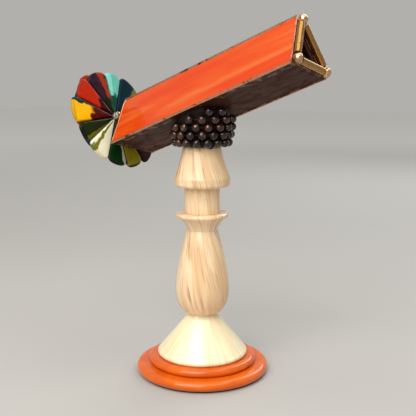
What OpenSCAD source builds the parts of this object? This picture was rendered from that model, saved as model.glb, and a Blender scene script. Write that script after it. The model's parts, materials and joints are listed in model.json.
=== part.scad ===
// Kaleidoscope on a turned pedestal: a three-sided stained-glass tube with mirrors
// inside, two fused-glass wheels on an axle at its object end, and a swivel collar
// of metal beads that carries it on a stack of turned pieces over a round base.
// Origin: centre of the felt's underside. +Z is up, +X is the eyepiece's side.

/* [Base] */
// Diameter of the lower base disc
base_d = 115; // [90:1:150]
// Thickness of the lower base disc
base_t = 8; // [7:0.5:14]
// Diameter of the upper base disc
step_d = 93; // [84:1:104]
// Thickness of the upper base disc
step_t = 6.5; // [4:0.5:10]
// Thickness of the felt under the base
felt_t = 1; // [0.8:0.1:3]

/* [Pedestal] */
// Diameter of the foot cone's rim
foot_d = 78.5; // [60:0.5:90]
// Height of the foot cone
foot_h = 37; // [28:1:50]
// Diameter of the waist between the foot cone and the baluster
waist_d = 24.5; // [20:0.5:30]
// Largest diameter of the baluster
baluster_d = 47; // [38:0.5:60]
// Height of the baluster
baluster_h = 73.5; // [55:0.5:95]
// Diameter of the dish collar's rim
dish_d = 45.5; // [40:0.5:56]
// Height of the dish collar
dish_h = 15; // [12:0.5:20]
// Diameter of the neck column
neck_d = 30.5; // [27:0.5:34]
// Height of the neck column
neck_h = 22.5; // [15:0.5:35]
// Diameter of the capital's rim
capital_d = 48; // [42:0.5:58]
// Height of the capital
capital_h = 33.5; // [26:0.5:45]
// Diameter of the capital's top
capital_top_d = 33; // [31:0.5:38]

/* [Rod and nuts] */
// Outer diameter of the hollow threaded rod
rod_d = 9.6; // [8:0.2:10]
// Wall of the rod
rod_wall = 1.6; // [1.2:0.1:2]
// Width of the nuts across their corners
nut_d = 17; // [16:0.5:18]
// Thickness of the nuts
nut_t = 3.5; // [2.5:0.5:4]
// Diameter of the washers
washer_d = 22; // [18:0.5:23]
// Thickness of the washers
washer_t = 1.2; // [0.8:0.1:1.6]

/* [Bead collar] */
// Diameter of a bead
bead_d = 7.8; // [6:0.2:8.6]
// Lower diameter of the drum that the beads sit on
drum_d = 35.5; // [33:0.5:40]
// Upper diameter of the drum, at the height where the post's axis meets the tube
drum_top_d = 45; // [40:0.5:50]
// Height of the drum on the post's axis, from its underside to the tube
drum_h = 22; // [19:0.5:27]

/* [Tube] */
// Width of one side of the tube, corner to corner
tube_side = 54; // [44:1:66]
// Length of the tube over both end frames
tube_len = 193; // [150:1:240]
// Upward tilt of the eyepiece end
tube_tilt = 21; // [15:0.5:25]
// Turn of the tube about its own length
tube_roll = 13.5; // [0:0.5:18]
// Distance from the post's axis to the middle of the tube, level
tube_shift = 10; // [0:1:20]
// Thickness of the glass panels
panel_t = 3; // [2:0.5:4]
// Width of the solder seam on each face at the back edge and the apex
seam_w = 3; // [2.6:0.1:5]
// Width of the copper band along the front edge's underside
band_w = 10; // [6:0.5:14]
// Thickness of the foil and solder over the glass
foil_t = 0.4; // [0.2:0.1:0.8]

/* [Ends and mirrors] */
// Thickness of the end frames
frame_t = 2; // [1.5:0.1:3]
// Side of the eyepiece's three-cornered opening
eye_side = 25; // [18:1:27]
// Side of the object end's three-cornered opening
object_side = 27; // [20:1:30]
// Diameter of the brass rods round the eyepiece
trim_d = 6.2; // [4:0.1:7]
// Diameter of the solder balls on the eyepiece's corners
ball_d = 8; // [6.6:0.2:10]
// Thickness of the clear end glasses
lens_t = 2; // [1.5:0.5:3]
// Thickness of the mirrors
mirror_t = 2.5; // [2:0.5:3]
// Thickness of the packing between the mirrors and the panels
packing_t = 1.4; // [1:0.1:2]

/* [Wheels] */
// Diameter of the axle
axle_d = 3.2; // [2.4:0.1:4]
// Height of the axle above the middle of the tube's end
axle_up = 16.5; // [12:0.5:18]
// Distance of the axle to the front of the tube's middle
axle_side = 6; // [4:0.5:7]
// Diameter of a wheel's hub
hub_d = 7; // [6:0.2:9]
// Length of a wheel's hub
hub_len = 7.2; // [7:0.2:12]
// Thickness of the petals
petal_t = 3.6; // [2.5:0.1:3.8]
// Thickness of the clear disc behind the petals
disc_t = 1.6; // [1.2:0.1:1.8]
// Radius of the near wheel's clear disc
disc_r = 40; // [34:1:42]
// Amount added to every petal's tip radius
petal_grow = 0; // [-2:0.5:4]
// Amount by which the far wheel's radius is less than the near wheel's
far_cut = 7; // [0:0.5:9]
// Gap between neighbouring petals
petal_gap = 0.5; // [0.3:0.1:1]

/* [Hidden] */
$fn = 96;

// Clearances
rod_clear = 0.4;        // column pieces over the rod, on the radius
run_clear = 0.05;       // running fits, on the radius
side_play = 0.2;        // end play of a wheel on its axle
fit_gap = 0.1;          // pieces that are slid into or laid on each other
seam_gap = 0.02;        // solder against glass
seam_cut = 1.2;         // panels' edges back from the tube's corners

// Heights of the stack
base_z = felt_t;
step_z = base_z + base_t;
foot_z = step_z + step_t;
baluster_z = foot_z + foot_h;
dish_z = baluster_z + baluster_h;
neck_z = dish_z + dish_h;
capital_z = neck_z + neck_h;
capital_top_z = capital_z + capital_h;
thrust_t = 0.8;
drum_z = capital_top_z + thrust_t;

// Nut pockets and the rod
pocket_r = washer_d / 2 + 1;
base_pocket_z = base_z + washer_t + nut_t + 1;
top_pocket_z = capital_top_z - washer_t - nut_t - 3;
rod_r = rod_d / 2;
rod_z = base_z + rod_clear;
bush_h = 15;
bush_r = rod_r + run_clear + 2.4;
bush_flange_r = bush_r + 4;
bush_flange_t = 2;
rod_top_z = drum_z + bush_h - 1;

// Tube: the middle of its section and its three-sided geometry
sqrt3 = sqrt(3);
inradius = tube_side / (2 * sqrt3);
tube_z = drum_z + drum_h + (inradius + foil_t) / (cos(tube_roll) * cos(tube_tilt))
    + tube_shift * tan(tube_tilt);
end_x = tube_len / 2;
trim_r = trim_d / 2;
eye_end_x = end_x - trim_d;
eye_frame_x = eye_end_x - frame_t;
object_frame_x = -end_x + frame_t;
inner_side = tube_side - 2 * sqrt3 * panel_t;
lens_side = inner_side - 2 * sqrt3 * fit_gap;
lens_reach = tube_side / sqrt3 - seam_cut * sqrt3 / 2 - 2 * panel_t - fit_gap;      // its cut corners
mirror_side = inner_side - 2 * sqrt3 * (packing_t + 2 * fit_gap);
mirror_x0 = object_frame_x + lens_t + fit_gap;
mirror_x1 = eye_frame_x - lens_t - fit_gap;

// Wheels: distances outward from the tube's object end
axle_r = axle_d / 2;
solder_h = 2.5;
inner_collar_t = 2.6;
near_x = solder_h + inner_collar_t + side_play;
spacer_len = 1;
far_x = near_x + hub_len + spacer_len + 2 * side_play;
cap_x = far_x + hub_len + side_play;
cap_r = 3.4;
axle_len = cap_x + cap_r;
petal_x = 1.2;          // from a hub's inner end to its petals

// Petals, anticlockwise seen from the tube: start angle, end angle, tip radius
BLUE = [[109, 144, 47.5], [176, 207, 48]];
TURQUOISE = [[82, 109, 44]];
PLUM = [[43, 82, 43.5]];
RED = [[12, 43, 46.5], [144, 176, 48], [207, 233, 52]];
YELLOW = [[-17, 12, 52.5], [233, 262, 48.5]];
GREEN = [[-39, -17, 50], [262, 292, 47]];
CREAM = [[292, 321, 49.5]];
far_turn = 197;         // turn of the far wheel's petals against the near wheel's
tip_round = 27;         // radius of a petal's rounded tip

// ---------- Stand ----------

module turned(z, pts) translate([0, 0, z]) rotate_extrude() polygon(pts);

// A disc with a rounded edge: a bullnose whose radius is half of its thickness
module bullnose_disc(r, t) {
    rotate_extrude() {
        square([r - t / 2, t]);
        translate([r - t / 2, t / 2]) intersection() {
            circle(t / 2);
            translate([0, -t / 2]) square([t, t]);
        }
    }
}

module rod_hole(z0, z1) translate([0, 0, z0 - 1]) cylinder(r = rod_r + rod_clear, h = z1 - z0 + 2);

// Point k of n on a quarter turn from angle a0 to a1 about (cx, cz)
function arc(cx, cz, rx, rz, a0, a1, n) =
    [for (k = [0 : n]) let (a = a0 + (a1 - a0) * k / n) [cx + rx * cos(a), cz + rz * sin(a)]];

module felt_pad() {
    color("#2a2622") cylinder(r = base_d / 2 - 3, h = felt_t);
}

module base_disc() {
    color("#f47a2c") difference() {
        translate([0, 0, base_z]) bullnose_disc(base_d / 2, base_t);
        rod_hole(base_z, step_z);
        translate([0, 0, base_z - 1]) cylinder(r = pocket_r, h = base_pocket_z - base_z + 1);
    }
}

module step_disc() {
    color("#f47a2c") difference() {
        translate([0, 0, step_z]) bullnose_disc(step_d / 2, step_t);
        rod_hole(step_z, foot_z);
    }
}

// Straight-sided cone over a rounded rim, with a small fillet into the waist
module foot_cone() {
    r = foot_d / 2;
    w = waist_d / 2;
    rim = 2.5;
    color("#f5e6c4") difference() {
        turned(foot_z, concat([[0, 0]], arc(r - rim, rim, rim, rim, -90, 35, 6),
            [[r - 2, 2 * rim + 1], [w + 1.6, foot_h - 3], [w + 0.3, foot_h - 1.2], [w, foot_h],
             [0, foot_h]]));
        rod_hole(foot_z, baluster_z);
    }
}

// Bulb with its widest point low down, and a long taper up to the dish
module baluster() {
    w = waist_d / 2;
    r = baluster_d / 2;
    top = neck_d / 2 - 2;
    belly = 0.3 * baluster_h;
    color("#efd2a4") difference() {
        turned(baluster_z, concat([[0, 0], [w, 0]],
            arc(w, belly, r - w, belly, -80, 0, 8),
            [for (k = [1 : 8]) let (t = k / 8)
                [r - (r - top) * pow(t, 1.55), belly + (baluster_h - belly) * t]],
            [[0, baluster_h]]));
        rod_hole(baluster_z, dish_z);
    }
}

// Shallow dish: an ogee that flares to a rounded rim
module dish_collar() {
    foot = neck_d / 2 - 2;
    r = dish_d / 2;
    rim = 2;
    color("#f2dcb4") difference() {
        turned(dish_z, concat([[0, 0], [foot, 0]],
            [for (k = [1 : 6]) let (t = k / 7)
                [foot + (r - rim - foot) * (0.35 * t + 0.65 * t * t), (dish_h - 2 * rim) * t]],
            arc(r - rim, dish_h - rim, rim, rim, -60, 90, 7), [[0, dish_h]]));
        rod_hole(dish_z, neck_z);
    }
}

module neck_column() {
    color("#f7e9cf") difference() {
        translate([0, 0, neck_z]) cylinder(r = neck_d / 2, h = neck_h);
        rod_hole(neck_z, capital_z);
    }
}

// Bell: a rounded rim below, a long hollow curve up to the top
module capital() {
    r = capital_d / 2;
    top = capital_top_d / 2;
    rim = 3.2;
    z0 = 2.4 * rim;
    color("#f3dfbd") difference() {
        turned(capital_z, concat([[0, 0], [r - rim, 0]], arc(r - rim, rim, rim, rim, -70, 0, 5),
            [for (k = [0 : 8]) let (t = k / 8)
                [top + (r - top) * pow(1 - t, 1.35), z0 + (capital_h - z0) * t]],
            [[0, capital_h]]));
        rod_hole(capital_z, capital_top_z);
        translate([0, 0, top_pocket_z]) cylinder(r = pocket_r, h = capital_top_z - top_pocket_z + 1);
    }
}

module stand_rod() {
    color("#b9b4a6") translate([0, 0, rod_z]) difference() {
        cylinder(r = rod_r, h = rod_top_z - rod_z);
        translate([0, 0, -1]) cylinder(r = rod_r - rod_wall, h = rod_top_z - rod_z + 2);
    }
}

// Ring over the rod
module ring(z, r, t, hole) translate([0, 0, z]) difference() {
    cylinder(r = r, h = t);
    translate([0, 0, -1]) cylinder(r = hole, h = t + 2);
}

// Hexagon nut over the rod
module nut(z) translate([0, 0, z]) difference() {
    cylinder(r = nut_d / 2, h = nut_t, $fn = 6);
    translate([0, 0, -1]) cylinder(r = rod_r + seam_gap, h = nut_t + 2);
}

module base_washer() color("#b9b4a6") ring(base_pocket_z - washer_t, washer_d / 2, washer_t, rod_r + 0.2);
module base_nut() color("#b9b4a6") nut(base_pocket_z - washer_t - nut_t);
module top_washer() color("#b9b4a6") ring(top_pocket_z, washer_d / 2, washer_t, rod_r + 0.2);
module top_nut() color("#b9b4a6") nut(top_pocket_z + washer_t);
module thrust_washer() color("#e8e4d8") ring(capital_top_z, capital_top_d / 2 - 1, thrust_t, rod_r + 0.3);

// ---------- Swivel collar ----------

// The tube's own frame: X along the tube to the eyepiece, Z to the apex before the roll
module tube_place() translate([tube_shift, 0, tube_z]) rotate([0, -tube_tilt, 0]) rotate([-tube_roll, 0, 0]) children();

// Height of the tube's underside over (x, y)
plane_n = [cos(tube_roll) * sin(tube_tilt), -sin(tube_roll), -cos(tube_roll) * cos(tube_tilt)];
function under_z(x, y) = tube_z
    + (plane_n[0] * (x - tube_shift) + plane_n[1] * y - inradius - foil_t) / -plane_n[2];

drum_slope = (drum_top_d - drum_d) / 2 / drum_h;
function drum_r(z) = drum_d / 2 + drum_slope * (z - drum_z);
drum_face = atan(drum_slope);

module swivel_bush() {
    color("#b58a3c") translate([0, 0, drum_z]) difference() {
        union() {
            cylinder(r = bush_r, h = bush_h);
            cylinder(r = bush_flange_r, h = bush_flange_t);
        }
        translate([0, 0, -1]) cylinder(r = rod_r + run_clear, h = bush_h + 2);
    }
}

module bead_drum() {
    color("#3a2a22") difference() {
        translate([0, 0, drum_z]) cylinder(r1 = drum_r(drum_z), r2 = drum_r(drum_z + 2 * drum_h), h = 2 * drum_h);
        translate([0, 0, drum_z - 1]) cylinder(r = bush_flange_r, h = bush_flange_t + 1);
        translate([0, 0, drum_z - 1]) cylinder(r = bush_r, h = bush_h + 1);
        tube_place() translate([-100, -100, -inradius - foil_t]) cube(200);
    }
}

// Rows of beads: as many to a row as the lowest row takes, each row half a step round
// from the one below and as close above it as the beads allow
bead_low = drum_z + bead_d / 2 - 0.2;
function row_r(z) = drum_r(z) + (bead_d / 2 + seam_gap) / cos(drum_face);
bead_count = floor(180 / asin((bead_d / 2 + 0.25) / row_r(bead_low)));
row_pitch = sqrt(pow(bead_d + fit_gap, 2) - pow(2 * row_r(bead_low) * sin(90 / bead_count), 2));

// One row round the drum, left out where the tube comes too low
module bead_row(n) {
    z = bead_low + n * row_pitch;
    r = row_r(z);
    color("#4a342a") for (k = [0 : bead_count - 1]) {
        a = (k + n / 2) * 360 / bead_count;
        if (under_z(r * cos(a), r * sin(a)) > z + bead_d / 2 / -plane_n[2])
            translate([r * cos(a), r * sin(a), z]) sphere(d = bead_d, $fn = 48);
    }
}

module bead_row_1() bead_row(0);
module bead_row_2() bead_row(1);
module bead_row_3() bead_row(2);
module bead_rows_top() for (n = [3 : 5]) bead_row(n);

// ---------- Tube ----------

// Draws a section in the (y, z) plane and carries it from x0 to x1 along the tube
module along(x0, x1) tube_place() translate([x0, 0, 0]) rotate([90, 0, 90]) linear_extrude(x1 - x0) children();

// Turns a section about the tube's middle: 0 is the bottom face, 1 the front one, 2 the back one
module face(k) rotate(-120 * k) children();

// Strip of a three-sided shell: outer side s, thickness t, its ends mitred and set back by cut
module strip(s, t, cut) {
    z = -s / (2 * sqrt3);
    polygon([[-s / 2 + cut, z], [s / 2 - cut, z], [s / 2 - cut - t * sqrt3, z + t],
        [-s / 2 + cut + t * sqrt3, z + t]]);
}

module panel(k) along(object_frame_x, eye_end_x) face(k) strip(tube_side, panel_t, seam_cut);

module front_panel() color("#ef6a2c") panel(1);
module back_panel() color("#ef6a2c") panel(2);
module bottom_panel() color("#4a3026") panel(0);

// Reflection about the corner's bisector, for a corner at the left of the bottom face
function flip(p) = [p[0] / 2 + p[1] * sqrt3 / 2, p[0] * sqrt3 / 2 - p[1] / 2];

// Solder that fills the corner at the left of the bottom face, laps w0 over that face
// and w1 over the next one, and stands up in a round bead on the corner itself
module corner_solder(w0, w1) {
    cut = seam_cut - seam_gap;
    deep = [cut + panel_t * sqrt3, panel_t];
    translate([-tube_side / 2, -inradius]) {
        polygon([[cut, 0], deep, flip(deep), flip([cut, 0]), flip([cut, -seam_gap]), flip([w1, -seam_gap]),
            flip([w1, -foil_t]), flip([0, -foil_t]), [0, -foil_t], [w0, -foil_t], [w0, -seam_gap],
            [cut, -seam_gap]]);
        circle(cut, $fn = 32);
    }
}

module seam(k, w0, w1) along(object_frame_x, eye_end_x) face(k) corner_solder(w0, w1);
module front_seam() color("#7a4a30") seam(0, band_w, seam_w - 1);
module back_seam() color("#7a4a30") seam(2, seam_w, seam_w);
module apex_seam() color("#8a5a38") seam(1, seam_w, seam_w);

// Triangle of side s about the tube's middle
module triangle(s) circle(r = s / sqrt3, $fn = 3);
module upright() rotate(90) children();

// Plate over the panels' ends, with the object end's opening
module object_frame() color("#6b4530") along(-end_x, object_frame_x) upright() difference() {
    triangle(tube_side);
    triangle(object_side);
}

// Outline that fits inside the panels, its corners cut back from the solder
module inside_panels() intersection() {
    triangle(lens_side);
    rotate(180) triangle(2 * sqrt3 * lens_reach);
}

// Plate inside the panels, flush with their ends, with the eyepiece's opening
module eyepiece_frame() color("#6b4530") along(eye_frame_x, eye_end_x) upright() difference() {
    inside_panels();
    triangle(eye_side);
}

// Clear glass that closes an end
module end_glass(x0) along(x0, x0 + lens_t) upright() inside_panels();

module eyepiece_glass() color([0.85, 0.9, 0.9, 0.4]) end_glass(eye_frame_x - lens_t);
module object_glass() color([0.85, 0.9, 0.9, 0.4]) end_glass(object_frame_x);

// Brass rods and solder balls round the eyepiece, on a triangle set in from the glass faces
trim_inset = trim_r - foil_t;
trim_side = tube_side - 2 * sqrt3 * trim_inset;
trim_x = end_x - trim_r;
trim_end = max(trim_r * sqrt3, ball_d / 2 + fit_gap);     // a rod's end, back from its corner
module trim(k) tube_place() rotate([-120 * k, 0, 0])
    translate([trim_x, -trim_side / 2 + trim_end, -trim_side / (2 * sqrt3)])
        rotate([-90, 0, 0]) cylinder(r = trim_r, h = trim_side - 2 * trim_end, $fn = 48);
module front_trim() color("#c8963c") trim(1);
module back_trim() color("#c8963c") trim(2);
module bottom_trim() color("#c8963c") trim(0);

module eyepiece_balls() {
    color("#d8a658") tube_place() for (k = [0 : 2])
        rotate([120 * k, 0, 0]) translate([eye_end_x + ball_d / 2, 0, trim_side / sqrt3])
            sphere(d = ball_d, $fn = 48);
}

module mirror_strip(k) along(mirror_x0, mirror_x1) face(k) strip(mirror_side, mirror_t, seam_gap);
module front_mirror() color("#cfd6da") mirror_strip(1);
module back_mirror() color("#cfd6da") mirror_strip(2);
module bottom_mirror() color("#cfd6da") mirror_strip(0);

module mirror_packing() {
    color("#3c3a38") along(mirror_x0, mirror_x1) for (k = [0 : 2])
        face(k) strip(inner_side - 2 * sqrt3 * fit_gap, packing_t, 2 * packing_t);
}

// ---------- Wheels ----------

// The axle's own frame: its Z runs outward from the tube's object end, its X to the front
module axle_place() tube_place() translate([-end_x, -axle_side, axle_up]) rotate([0, -90, 0]) rotate(-90) children();

module on_axle(d, r, t, hole) axle_place() translate([0, 0, d]) difference() {
    cylinder(r = r, h = t, $fn = 48);
    translate([0, 0, -1]) cylinder(r = hole, h = t + 2, $fn = 48);
}

module wheel_axle() color("#c8963c") axle_place() cylinder(r = axle_r, h = axle_len, $fn = 48);

module axle_solder() {
    color("#d8c49a") axle_place() difference() {
        cylinder(r1 = 3.8, r2 = axle_r + 0.6, h = solder_h, $fn = 48);
        translate([0, 0, -1]) cylinder(r = axle_r, h = solder_h + 2, $fn = 48);
    }
}

module inner_collar() color("#c8963c") on_axle(solder_h, 3.4, inner_collar_t, axle_r);
module wheel_spacer() color("#c8963c") on_axle(near_x + hub_len + side_play, 3.2, spacer_len, axle_r);
module axle_cap() {
    color("#c8963c") axle_place() difference() {
        translate([0, 0, cap_x + cap_r]) sphere(r = cap_r, $fn = 48);
        translate([0, 0, cap_x - 1]) cylinder(r = axle_r, h = cap_r + 1, $fn = 48);
    }
}

module hub(d) on_axle(d, hub_d / 2, hub_len, axle_r + run_clear);
module disc(d, cut) on_axle(d + petal_x + petal_t, disc_r - cut, disc_t, hub_d / 2);

// A petal: a wedge from the hub out, its tip rounded and its neighbours a gap away
module petal(p, cut) {
    tip = p[2] + petal_grow - cut;
    mid = (p[0] + p[1]) / 2;
    half = (p[1] - p[0]) / 2;
    rotate(mid) difference() {
        intersection() {
            linear_extrude(petal_t) polygon([[petal_gap / 2 / sin(half), 0],
                [petal_gap / 2 / sin(half) + 90 * cos(half), 90 * sin(half)],
                [petal_gap / 2 / sin(half) + 90 * cos(half), -90 * sin(half)]]);
            translate([tip - tip_round, 0, -1]) cylinder(r = tip_round, h = petal_t + 2);
        }
        translate([0, 0, -1]) cylinder(r = hub_d / 2 + fit_gap, h = petal_t + 2, $fn = 48);
    }
}

module petals(d, turn, cut, list) axle_place() translate([0, 0, d + petal_x]) rotate(turn)
    for (p = list) petal(p, cut);

module near_hub() color("#c8963c") hub(near_x);
module near_disc() color([0.8, 0.88, 0.85, 0.5]) disc(near_x, 0);
module near_blue() color("#0d2b52") petals(near_x, 0, 0, BLUE);
module near_turquoise() color("#5cc8ae") petals(near_x, 0, 0, TURQUOISE);
module near_plum() color("#3a2438") petals(near_x, 0, 0, PLUM);
module near_red() color("#c22312") petals(near_x, 0, 0, RED);
module near_yellow() color("#f2b90f") petals(near_x, 0, 0, YELLOW);
module near_green() color("#1d4a22") petals(near_x, 0, 0, GREEN);
module near_cream() color("#f3eccf") petals(near_x, 0, 0, CREAM);

module far_hub() color("#c8963c") hub(far_x);
module far_disc() color([0.8, 0.88, 0.85, 0.5]) disc(far_x, far_cut);
module far_blue() color("#16407a") petals(far_x, far_turn, far_cut, BLUE);
module far_plum() color("#3a2438") petals(far_x, far_turn, far_cut, concat(PLUM, TURQUOISE));
module far_red() color("#8c1a12") petals(far_x, far_turn, far_cut, RED);
module far_yellow() color("#e0a010") petals(far_x, far_turn, far_cut, YELLOW);
module far_green() color("#2a5a2a") petals(far_x, far_turn, far_cut, GREEN);
module far_cream() color("#efe6c8") petals(far_x, far_turn, far_cut, CREAM);

felt_pad();
base_disc();
step_disc();
foot_cone();
baluster();
dish_collar();
neck_column();
capital();
stand_rod();
base_washer();
base_nut();
top_washer();
top_nut();
thrust_washer();
swivel_bush();
bead_drum();
bead_row_1();
bead_row_2();
bead_row_3();
bead_rows_top();
front_panel();
back_panel();
bottom_panel();
apex_seam();
front_seam();
back_seam();
eyepiece_frame();
front_trim();
back_trim();
bottom_trim();
eyepiece_balls();
eyepiece_glass();
object_frame();
object_glass();
front_mirror();
back_mirror();
bottom_mirror();
mirror_packing();
wheel_axle();
axle_solder();
inner_collar();
wheel_spacer();
axle_cap();
near_hub();
near_disc();
near_blue();
near_turquoise();
near_plum();
near_red();
near_yellow();
near_green();
near_cream();
far_hub();
far_disc();
far_blue();
far_plum();
far_red();
far_yellow();
far_green();
far_cream();
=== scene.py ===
"""Looks of a pedestal kaleidoscope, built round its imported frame.

Each class here builds the detailed meshes of one sub-assembly, in metres in the frame's
own axes, and dresses them in procedural finishes. Shapes are functions on a grid,
worked out as whole arrays.
"""

from __future__ import annotations

import json
import logging
import math
from dataclasses import dataclass
from enum import Enum

import bpy
import numpy as np
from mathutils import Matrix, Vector

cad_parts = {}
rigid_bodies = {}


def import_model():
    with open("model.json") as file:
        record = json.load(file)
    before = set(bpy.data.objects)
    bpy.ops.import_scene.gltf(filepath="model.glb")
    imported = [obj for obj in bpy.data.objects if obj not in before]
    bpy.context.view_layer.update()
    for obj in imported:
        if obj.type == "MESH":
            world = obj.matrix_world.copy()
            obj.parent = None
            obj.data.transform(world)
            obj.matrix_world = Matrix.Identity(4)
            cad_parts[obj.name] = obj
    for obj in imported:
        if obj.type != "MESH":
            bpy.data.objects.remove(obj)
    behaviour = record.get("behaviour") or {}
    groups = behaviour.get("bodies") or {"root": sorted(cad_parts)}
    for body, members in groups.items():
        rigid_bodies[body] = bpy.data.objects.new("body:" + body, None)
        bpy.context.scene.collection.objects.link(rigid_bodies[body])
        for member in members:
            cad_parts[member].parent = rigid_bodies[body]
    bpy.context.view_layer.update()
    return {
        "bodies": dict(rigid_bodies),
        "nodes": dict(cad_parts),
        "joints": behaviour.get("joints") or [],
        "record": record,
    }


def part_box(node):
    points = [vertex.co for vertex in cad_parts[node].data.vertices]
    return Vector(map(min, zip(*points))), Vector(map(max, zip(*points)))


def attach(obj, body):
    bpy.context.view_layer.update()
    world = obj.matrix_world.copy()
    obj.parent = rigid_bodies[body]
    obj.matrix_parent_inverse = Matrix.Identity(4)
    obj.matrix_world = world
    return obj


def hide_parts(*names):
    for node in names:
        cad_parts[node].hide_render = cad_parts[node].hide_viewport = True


LOG = logging.getLogger("kaleidoscope")
MM = 0.001
TAU = 2 * math.pi
ROOT3 = math.sqrt(3)

Color = tuple[float, float, float]
Pair = tuple[float, float]
Piece = bpy.types.Object
Material = bpy.types.Material
Socket = bpy.types.NodeSocket


# ---------------------------------------------------------------- surfaces


def circle(count: int) -> np.ndarray:
    """Even angles round a whole turn."""
    return np.linspace(0, TAU, count, endpoint=False)


def grid_of(x: np.ndarray, y: np.ndarray, z: np.ndarray) -> np.ndarray:
    """Points from three coordinates that broadcast together."""
    return np.stack(np.broadcast_arrays(x, y, z), -1)


def polar(radius: np.ndarray, angle: np.ndarray, height: np.ndarray) -> np.ndarray:
    """Points from their distance from the Z axis, their angle round it and their height."""
    return grid_of(radius * np.cos(angle), radius * np.sin(angle), height)


def stepped(p: np.ndarray, q: np.ndarray, count: int) -> np.ndarray:
    """The starts of count equal steps from p to q."""
    return p + (q - p) * (np.arange(count) / count)[:, None]


def quads(rows: int, cols: int, wrap_rows: bool) -> np.ndarray:
    """Corner numbers of the quads of a grid whose columns close on themselves.

    Args:
        rows: number of rings.
        cols: number of points round a ring.
        wrap_rows: whether the last ring joins the first.

    Returns:
        An (n, 4) array of point numbers.
    """
    i, j = np.meshgrid(np.arange(rows if wrap_rows else rows - 1), np.arange(cols), indexing="ij")
    here, above = i * cols, ((i + 1) % rows) * cols
    beside = (j + 1) % cols
    return np.stack([here + j, here + beside, above + beside, above + j], -1).reshape(-1, 4)


def volume(points: np.ndarray, faces: list[np.ndarray]) -> float:
    """Signed volume inside closed faces: the sum of each triangle's tetrahedron to the origin.

    Args:
        points: (n, 3) points.
        faces: arrays of point numbers, a face in each row.

    Returns:
        The volume, above zero where the faces look outwards.
    """
    total = 0.0
    for f in faces:
        for k in range(1, f.shape[1] - 1):
            a, b, c = points[f[:, 0]], points[f[:, k]], points[f[:, k + 1]]
            total += float(np.einsum("ij,ij->i", a, np.cross(b, c)).sum()) / 6
    return total


@dataclass
class Shell:
    """A closed surface: its points, faces and, where a finish follows the surface, grain.

    grain is one (u, v) for each point, kept in the mesh as a UV map named grain.
    """

    points: np.ndarray
    faces: list[np.ndarray]
    grain: np.ndarray | None = None

    @staticmethod
    def rings(grid: np.ndarray, closed: bool, grain: np.ndarray | None = None) -> Shell:
        """A shell over rings of points.

        Args:
            grid: (rows, cols, 3) points, each row a closed ring.
            closed: True joins the last ring to the first; False caps both ends.
            grain: optional (rows, cols, 2) surface coordinates.

        Returns:
            The shell, its faces turned outwards.
        """
        rows, cols = grid.shape[:2]
        points = grid.reshape(-1, 3)
        uv = None if grain is None else grain.reshape(-1, 2)
        faces = [quads(rows, cols, closed)]
        if not closed:
            points = np.concatenate([points, grid[[0, -1]].mean(axis=1)])
            if uv is not None:
                uv = np.concatenate([uv, grain[[0, -1]].mean(axis=1)])
            j = np.arange(cols)
            k = (j + 1) % cols
            first = np.stack([np.full(cols, rows * cols), k, j], -1)
            base = (rows - 1) * cols
            final = np.stack([np.full(cols, rows * cols + 1), base + j, base + k], -1)
            faces.append(np.concatenate([first, final]))
        if volume(points - points.mean(axis=0), faces) < 0:
            faces = [f[:, ::-1] for f in faces]
        return Shell(points, faces, uv)

    @staticmethod
    def join(shells: list[Shell]) -> Shell:
        """Several shells as one, each still closed by itself.

        Args:
            shells: the shells.

        Returns:
            The shell, its grain all zero.
        """
        points, faces, base = [], [], 0
        for s in shells:
            points.append(s.points)
            faces += [f + base for f in s.faces]
            base += len(s.points)
        points = np.concatenate(points)
        return Shell(points, faces, np.zeros((len(points), 2)))

    def placed(self, axes: Axes) -> Shell:
        """The same shell, its points read in a frame's own axes."""
        return Shell(axes.place(self.points), self.faces, self.grain)

    def make(self, name: str, look: Look, stands_for: tuple = (), crease: float = 38.0,
             body: str = "scope") -> Piece:
        """Puts the shell in the scene as a piece of the object.

        Args:
            name: the piece's name.
            look: its finish and the record's material slot.
            stands_for: the frame nodes that it replaces.
            crease: angle in degrees above which an edge stays sharp.
            body: the body it rides on.

        Returns:
            The new object.
        """
        mesh = bpy.data.meshes.new(name)
        mesh.from_pydata(self.points.tolist(), [], [r for f in self.faces for r in f.tolist()])
        mesh.polygons.foreach_set("use_smooth", np.ones(len(mesh.polygons), bool))
        if self.grain is not None:
            layer = mesh.uv_layers.new(name="grain")
            corner = np.zeros(len(mesh.loops), np.int64)
            mesh.loops.foreach_get("vertex_index", corner)
            layer.data.foreach_set("uv", self.grain[corner].astype(np.float32).ravel())
        mesh.set_sharp_from_angle(angle=math.radians(crease))
        mesh.materials.append(look.finish)
        mesh.validate()
        piece = bpy.data.objects.new(name, mesh)
        bpy.context.scene.collection.objects.link(piece)
        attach(piece, body)
        if stands_for:
            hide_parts(*stands_for)
        LOG.info("%s: %d faces on %s", name, len(mesh.polygons), body)
        return piece


def waves(seed: int, count: int, *coords: np.ndarray, low: float = 1.0, high: float = 4.0) -> np.ndarray:
    """Smooth seeded noise of about unit size: a sum of sines of mixed, whole and random pitch.

    The first coordinate is an angle and gets whole pitches, so the noise closes round it.

    Args:
        seed: number that fixes the result.
        count: number of sines.
        coords: arrays that broadcast together.
        low: lowest pitch.
        high: highest pitch.

    Returns:
        The noise, in the coordinates' common shape.
    """
    rng = np.random.default_rng(seed)
    total = 0.0
    for _ in range(count):
        phase = rng.uniform(0, TAU)
        wave = phase + round(rng.uniform(low, high)) * rng.choice([-1, 1]) * coords[0]
        for c in coords[1:]:
            wave = wave + rng.uniform(low, high) * rng.choice([-1, 1]) * c
        total = total + np.sin(wave) * rng.uniform(0.5, 1.0)
    return total / math.sqrt(count)


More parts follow.
